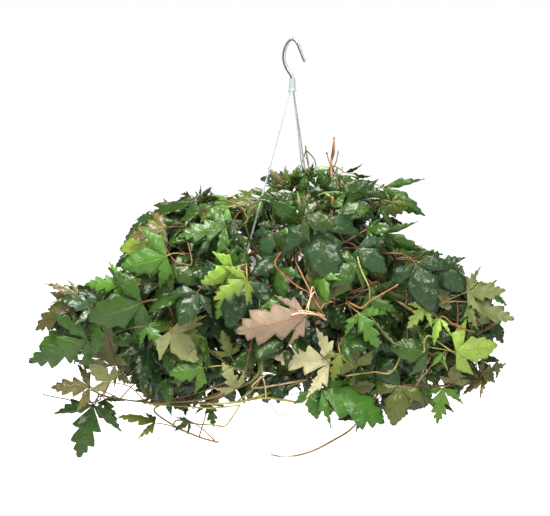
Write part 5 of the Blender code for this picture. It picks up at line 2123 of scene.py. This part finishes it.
@dataclass(frozen=True)
class StudioFinish:
    """The pale matte floor of the studio, which glows a little away from the plant, most behind it."""

    name: str = "pale_floor"
    colour: tuple = (0.93, 0.93, 0.93)
    glow: float = 0.84
    front_glow: float = 0.42

    def material(self) -> Material:
        """Gives the finish as a material.

        Returns:
            The material.
        """
        sheet = NodeSheet(self.name, 0.9, 0.0)
        paler = tuple(channel * 1.01 for channel in self.colour)
        sheet.colour(sheet.mix(sheet.noise(1.5), (*self.colour, 1), (*paler, 1)))
        place = sheet.add("TexCoord", output="Object")
        away = sheet.add("VectorMath", {0: place}, "Value", operation="LENGTH")
        behind = sheet.step(sheet.add("SeparateXYZ", {0: place}, 1), -0.5, 0.9)
        strength = sheet.math("MULTIPLY_ADD", behind, self.glow - self.front_glow, self.front_glow)
        glow = sheet.math("MULTIPLY", sheet.step(away, 0.9, 2.4), strength)
        sheet.feed(sheet.shader.inputs["Emission Strength"], glow)
        sheet.shader.inputs["Emission Color"].default_value = (1, 1, 1, 1)
        return sheet.material


def cut(obj: Object, places: Iterable[Vector], radius: float, height: float, sides: int) -> None:
    """Cuts upright round holes in a piece.

    Args:
        obj: The piece.
        places: The middle of each hole.
        radius: The holes' radius.
        height: The cutters' height.
        sides: How many sides each has.
    """
    for place in places:
        cutter = Bench.add(
            bpy.ops.mesh.primitive_cylinder_add, vertices=sides, radius=radius, depth=height,
            location=place)
        Bench.finish(obj, "BOOLEAN", operation="DIFFERENCE", object=cutter, solver="EXACT")
        bpy.data.objects.remove(cutter, do_unlink=True)


@dataclass
class Pot:
    """The pot: a tapered wall under a flat rim flange with a short rounded lip, drained below."""

    rim_radius: float = RIM_RADIUS
    rim_height: float = RIM_HEIGHT
    base_radius: float = POT_BASE_RADIUS
    depth: float = POT_DEPTH
    wall: float = WALL
    round_over: float = 0.0005
    lip_out: float = 0.0008
    base_hollow: float = 0.0006
    drain_share: float = 0.6
    steps: int = 96

    def profile(self) -> list[tuple]:
        """Gives the wall's section, from the middle of the inner floor round to that of the base.

        Returns:
            Radius and height of each of its points.
        """
        rim, base, wall, over = self.rim_radius, self.base_radius, self.wall, self.round_over
        inner_rim = rim - FLANGE_WIDTH
        lip = rim + self.lip_out
        top = self.rim_height
        under = top - FLANGE_THICKNESS
        drop = top - LIP_DROP
        floor = top - self.depth
        inside, raised = floor + wall, floor + self.base_hollow
        return [
            (FLOOR_MIDDLE, inside), (base - 0.004, inside), (base - 0.001, inside + 0.002),
            (inner_rim - over, top - over * 2), (inner_rim, top - over), (inner_rim + over * 2, top),
            (rim - over, top), (lip - over * 0.4, top - over * 0.5), (lip, top - over * 2),
            (lip, drop + over), (lip - over, drop), (LIP_INSIDE, drop + over),
            (LIP_INSIDE, under - over), (LIP_INSIDE - over, under), (inner_rim + wall + over, under),
            (inner_rim + wall, under - over), (base + wall, floor + 0.006),
            (base + wall * 0.6, floor + 0.002), (base - 0.002, floor), (base - 0.007, floor),
            (base - 0.009, raised), (FLOOR_MIDDLE, raised),
        ]

    def build(self) -> Object:
        """Builds the pot in place of the model's own, with its drain and strand holes.

        Returns:
            The pot.
        """
        pot = Bench.turned("hanging_pot", self.profile(), self.steps)
        ring, floor = self.base_radius * self.drain_share, self.rim_height - self.depth
        drains = [polar(45 + hole * 360 / DRAIN_HOLES, ring, floor) for hole in range(DRAIN_HOLES)]
        cut(pot, drains, DRAIN_HOLE_RADIUS, 0.010, 24)
        feet = [polar(azimuth, STRAND_HOLE_AT, self.rim_height) for azimuth in STRAND_AZIMUTHS]
        cut(pot, feet, STRAND_FOOT_RADIUS + SEAT_GAP, 0.008, 16)
        Bench.smooth(pot, 40)
        return dressed(pot, POT_PLASTIC.material(), "white_plastic", "pot")


def dressed(obj: Object, finish: Material, slot: str, *nodes: str) -> Object:
    """Gives a piece its finish, hangs it on the root body and hides the model's nodes that it replaces.

    Args:
        obj: The piece.
        finish: Its material.
        slot: Its material slot in the record; not used.
        nodes: The model's nodes that it replaces.

    Returns:
        The piece.
    """
    if not obj.data.materials:
        obj.data.materials.append(finish)
    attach(obj, BODY)
    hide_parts(*nodes)
    return obj


@dataclass
class Soil:
    """The soil that fills the pot, with an uneven crumbly top."""

    seed: int = 5
    rings: int = 14
    steps: int = 72
    heap: float = 0.004
    waves: int = 14
    paces: tuple = (60, 420)
    rough: float = 0.00484
    crumbs: int = 260
    crumb_sizes: tuple = (0.0007, 0.0024)
    sunk: tuple = (-0.3, 0.4)
    slim: tuple = (0.6, 1)
    flat: tuple = (0.5, 0.9)
    out: float = 0.92

    def build(self) -> Object:
        """Builds the soil in place of the model's own.

        Returns:
            The soil.
        """
        inner_rim = RIM_RADIUS - FLANGE_WIDTH
        floor = RIM_HEIGHT - POT_DEPTH + WALL + SEAT_GAP
        top = RIM_HEIGHT - SOIL_BELOW_RIM
        slope = (inner_rim - POT_BASE_RADIUS + 0.001) / (POT_DEPTH - WALL)
        edge = inner_rim - slope * SOIL_BELOW_RIM - 4 * SEAT_GAP
        foot = POT_BASE_RADIUS - 0.001 - 4 * SEAT_GAP
        profile = [(FLOOR_MIDDLE, floor), (foot - 0.004, floor), (foot, floor + 0.004), (edge, top - 0.002)]
        profile += [(edge * (1 - ring / self.rings), top) for ring in range(1, self.rings)]
        soil = Bench.turned("potting_soil", profile, self.steps)
        points = Bench.points_of(soil)
        draw = random.Random(self.seed)
        x, y = points[:, 0], points[:, 1]
        on_top = points[:, 2] > top - 0.001
        height = np.zeros(len(points))
        for _ in range(self.waves):
            turn = draw.uniform(0, math.tau)
            pace = draw.uniform(*self.paces)
            way = x * math.cos(turn) + y * math.sin(turn)
            height += np.sin(way * pace + draw.uniform(0, math.tau)) / self.waves
        lift = self.rough * height + self.heap * (1 - (np.hypot(x, y) / edge) ** 2)
        points[:, 2] += np.where(on_top, lift, 0)
        Bench.reshape(soil, points)
        soil.data.shade_smooth()
        pieces = [soil]
        for _ in range(self.crumbs):
            size = draw.uniform(*self.crumb_sizes)
            where = polar(draw.uniform(0, 360), edge * math.sqrt(draw.uniform(0, self.out)), 0)
            heap = self.heap * (1 - (where.xy.length / edge) ** 2)
            where.z = top + heap + draw.uniform(*self.sunk) * size
            scale = (1, draw.uniform(*self.slim), draw.uniform(*self.flat))
            pieces.append(Bench.add(
                bpy.ops.mesh.primitive_ico_sphere_add, subdivisions=1, radius=size, location=where,
                scale=scale, rotation=(0, 0, draw.uniform(0, 3))))
        joined = Bench.join("potting_soil", pieces)
        return dressed(joined, SoilFinish().material(), "potting_soil", "soil")


@dataclass
class Hook:
    """The moulded hook: a bent rod that thins to its tip, on a ribbed collar."""

    rod_radius: float = HOOK_ROD_RADIUS
    thinning: float = 0.25
    rounded_tip: tuple = (0.90, 0.62)
    steps: int = 8
    ribs: int = 4
    rib: float = 0.0002
    middle: float = 0.0005
    top_edge: float = 0.0006
    bottom_edge: float = 0.0004
    foot_step: float = 0.0008
    foot_height: float = 0.0030
    edge_shade_radius: float = 0.0016
    edge_shade_offset: tuple = (-0.0012, -0.0020, -0.0004)

    def build(self) -> Object:
        """Builds the hook in place of the model's own, with a near-black rod of painted shade along its
        inner side, where the clear plastic only looks dark.

        Returns:
            The hook.
        """
        finish, dark = HOOK_PLASTIC.material(), EDGE_SHADE_PLASTIC.material()
        bend = smooth_route([Vector((x, 0, z)) for x, z in HOOK_BEND], self.steps)
        count = len(bend)
        radii = [self.rod_radius * (1 - self.thinning * index / count) for index in range(count)]
        radii[-2:] = [radius * share for radius, share in zip(radii[-2:], self.rounded_tip)]
        rod = Bench.rod("hook_rod", bend, radii, 3)
        # A thin rod of painted shade along the inner side, where the clear plastic only looks dark.
        edge_shade_line = [place + Vector(self.edge_shade_offset) for place in bend]
        edge_shade_radii = [self.edge_shade_radius * radius / radii[0] for radius in radii]
        edge_shade_rod = Bench.rod("hook_painted_shade_edge", edge_shade_line, edge_shade_radii)
        edge_shade_rod.data.materials.append(dark)
        rod.data.materials.append(finish)
        top, bottom = COLLAR_TOP - self.top_edge, COLLAR_BOTTOM + self.foot_height
        profile = [(self.middle, COLLAR_TOP), (COLLAR_TOP_RADIUS - self.top_edge, COLLAR_TOP)]
        profile.append((COLLAR_TOP_RADIUS, top))
        flare = COLLAR_BOTTOM_RADIUS - self.foot_step - COLLAR_TOP_RADIUS
        for rib in range(1, self.ribs * 2 + 1):
            share = rib / (self.ribs * 2)
            radius = COLLAR_TOP_RADIUS + flare * share - (self.rib if rib % 2 else 0)
            profile.append((radius, top + (bottom - top) * share))
        profile += [
            (COLLAR_BOTTOM_RADIUS, bottom - self.foot_step),
            (COLLAR_BOTTOM_RADIUS, COLLAR_BOTTOM + self.bottom_edge),
            (COLLAR_BOTTOM_RADIUS - self.bottom_edge, COLLAR_BOTTOM), (self.middle, COLLAR_BOTTOM),
        ]
        collar = Bench.turned("hook_collar", profile, 40)
        sockets = [polar(azimuth, STRAND_TOP_SPREAD, COLLAR_BOTTOM) for azimuth in STRAND_AZIMUTHS]
        cut(collar, sockets, STRAND_TOP_RADIUS + SEAT_GAP, STRAND_SOCKET_DEPTH * 2, 16)
        collar.data.materials.append(finish)
        hook = Bench.join("hanging_hook", [collar, rod, edge_shade_rod])
        Bench.smooth(hook, 35)
        return dressed(hook, finish, "clear_grey_plastic", "hanger_hook")


@dataclass
class Strand:
    """One moulded strand of the hanger, slim at the collar and thicker where it nears the rim."""

    order: int
    azimuth: float
    flat: float = 0.55

    def build(self, finish: Material) -> Object:
        """Builds the strand in place of the model's own, with its button foot.

        Args:
            finish: Its plastic.

        Returns:
            The strand.
        """
        route = strand_route(self.azimuth)
        line = [route[0], *smooth_route(route[1:4], 8), route[4]]
        count = len(line)
        radii = []
        for index in range(count):
            share = max(0, index - 1) / (count - 3)
            radii.append(STRAND_TOP_RADIUS + (STRAND_FOOT_RADIUS - STRAND_TOP_RADIUS) * min(1, share))
        rod = Bench.rod("strand", line, radii, 3)
        button = Bench.add(
            bpy.ops.mesh.primitive_cylinder_add, vertices=32, radius=BUTTON_RADIUS,
            depth=BUTTON_THICKNESS, location=route[-1])
        Bench.finish(button, "BEVEL", width=0.0003, segments=2, limit_method="ANGLE")
        strand = Bench.join(f"hanging_strand_{self.order}", [rod, button])
        Bench.smooth(strand, 35)
        return dressed(strand, finish, "white_plastic", f"hanger_strand_{self.order}")


class Light(NamedTuple):
    """A square soft light: where it is, the height on the pot's axis that it points at, its side in
    metres, and its power."""

    name: str
    place: tuple
    aim: float
    size: float
    watts: float


LIGHTS = (
    Light("key_light", (-0.16, -0.92, 1.45), -0.36, 0.9, 80),
    Light("gloss_light_left", (-0.85, -1.62, 0.62), -0.3, 0.36, 18),
    Light("gloss_light_right", (0.80, -1.62, 0.56), -0.3, 0.36, 18),
    Light("back_light", (0.3, 1.8, 0.9), -0.4, 1.0, 34),
)


@dataclass
class Studio:
    """A plain pale studio: a wide floor, soft light, and a camera at the photograph's angle."""

    floor_height: float = -1.05
    floor_size: float = 60
    lens: float = 36 * VIEW_DISTANCE / (PICTURE_WIDTH * PIXEL)
    horizon: float = 0.80
    dome: float = 0.16
    fade: tuple = (0.02, 0.12)
    warmth: tuple = (1.0, 0.96, 0.86)

    def floor(self) -> None:
        """Lays the floor."""
        floor = Bench.add(
            bpy.ops.mesh.primitive_plane_add, size=self.floor_size, location=(0, 0, self.floor_height))
        floor.name = "studio_floor"
        floor.data.materials.append(StudioFinish().material())
        floor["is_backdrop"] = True

    def world(self) -> None:
        """Lights all round softly, from a dome that is brighter low down, where it is the background."""
        world = bpy.data.worlds.new("studio")
        world.use_nodes = True
        nodes, links = world.node_tree.nodes, world.node_tree.links
        direction = nodes.new("ShaderNodeTexCoord")
        parts = nodes.new("ShaderNodeSeparateXYZ")
        ramp = nodes.new("ShaderNodeMapRange")
        values = (*self.fade, self.horizon, self.dome)
        for name, value in zip(("From Min", "From Max", "To Min", "To Max"), values):
            ramp.inputs[name].default_value = value
        links.new(direction.outputs["Generated"], parts.inputs[0])
        links.new(parts.outputs["Z"], ramp.inputs["Value"])
        links.new(ramp.outputs[0], nodes["Background"].inputs["Strength"])
        nodes["Background"].inputs["Color"].default_value = (1, 1, 1, 1)
        bpy.context.scene.world = world

    def light(self, light: Light) -> None:
        """Hangs a soft light.

        Args:
            light: The light.
        """
        lamp = bpy.data.lights.new(light.name, "AREA")
        lamp.size = light.size
        lamp.energy = light.watts
        lamp.color = self.warmth
        obj = Bench.link(light.name, lamp)
        obj.location = light.place
        way = Vector((0, 0, light.aim)) - Vector(light.place)
        obj.rotation_euler = way.to_track_quat("-Z", "Y").to_euler()

    def camera(self) -> None:
        """Sets the camera at the photograph's angle."""
        camera = bpy.data.cameras.new("camera")
        camera.lens = self.lens
        camera.sensor_width = 36
        obj = Bench.link("camera", camera)
        obj.location = View.eye
        obj.rotation_euler = View.forward.to_track_quat("-Z", "Y").to_euler()
        bpy.context.scene.camera = obj

    def build(self) -> None:
        """Sets up the whole studio."""
        self.floor()
        self.world()
        for light in LIGHTS:
            self.light(light)
        self.camera()
        bpy.context.scene.view_settings.view_transform = "Standard"


def keep_inside(piece: Object, lowest: np.ndarray, highest: np.ndarray) -> None:
    """Keeps a piece's points inside the model's box."""
    Bench.reshape(piece, np.clip(Bench.points_of(piece), lowest, highest))


def main() -> None:
    """Builds every piece in order and reports it."""
    logging.basicConfig(level=logging.INFO, format="%(message)s")
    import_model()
    model_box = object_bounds()
    lowest, highest = (np.array(corner, float) for corner in model_box)
    plan = Plan()
    plan.lay_model_leaves()
    plan.lay_more_leaves()
    filling = Filling(plan, Sight(plan))
    LOG.info("leaves that fill the front: %d", filling.fill_front())
    LOG.info("leaves that fill the back: %d", filling.fill_back())
    bark = BarkFinish().material()
    leaf_finishes = [finish.material() for finish in (LEAF_UPPER, LEAF_UNDER, DRY_UPPER, DRY_UNDER)]
    makers = [LeafMaker(leaf_finishes, columns) for columns in (8, 4)]
    pieces = [Pot().build(), Soil().build(), Hook().build()]
    # The front right strand takes the darker copy of the same plastic: painted shade.
    pale, painted_shade_plastic = STRAND_PLASTIC.material(), PAINTED_SHADE_STRAND_PLASTIC.material()
    for order, (azimuth, plastic) in enumerate(zip(STRAND_AZIMUTHS, (pale, painted_shade_plastic, pale)), 1):
        pieces.append(Strand(order, azimuth).build(plastic))
    for seed, (name, route) in enumerate(plan.routes.items()):
        stem = LeafyStem(name, route, plan.blades[name], seed, *makers, Stalks())
        pieces.append(stem.build(bark))
    for piece in pieces:
        keep_inside(piece, lowest, highest)
    for maker in makers:
        bpy.data.objects.remove(maker.pattern, do_unlink=True)
    for piece in pieces:
        LOG.info("%s: %d faces", piece.name, len(piece.data.polygons))
    Studio().build()


if __name__ == "__main__":
    main()
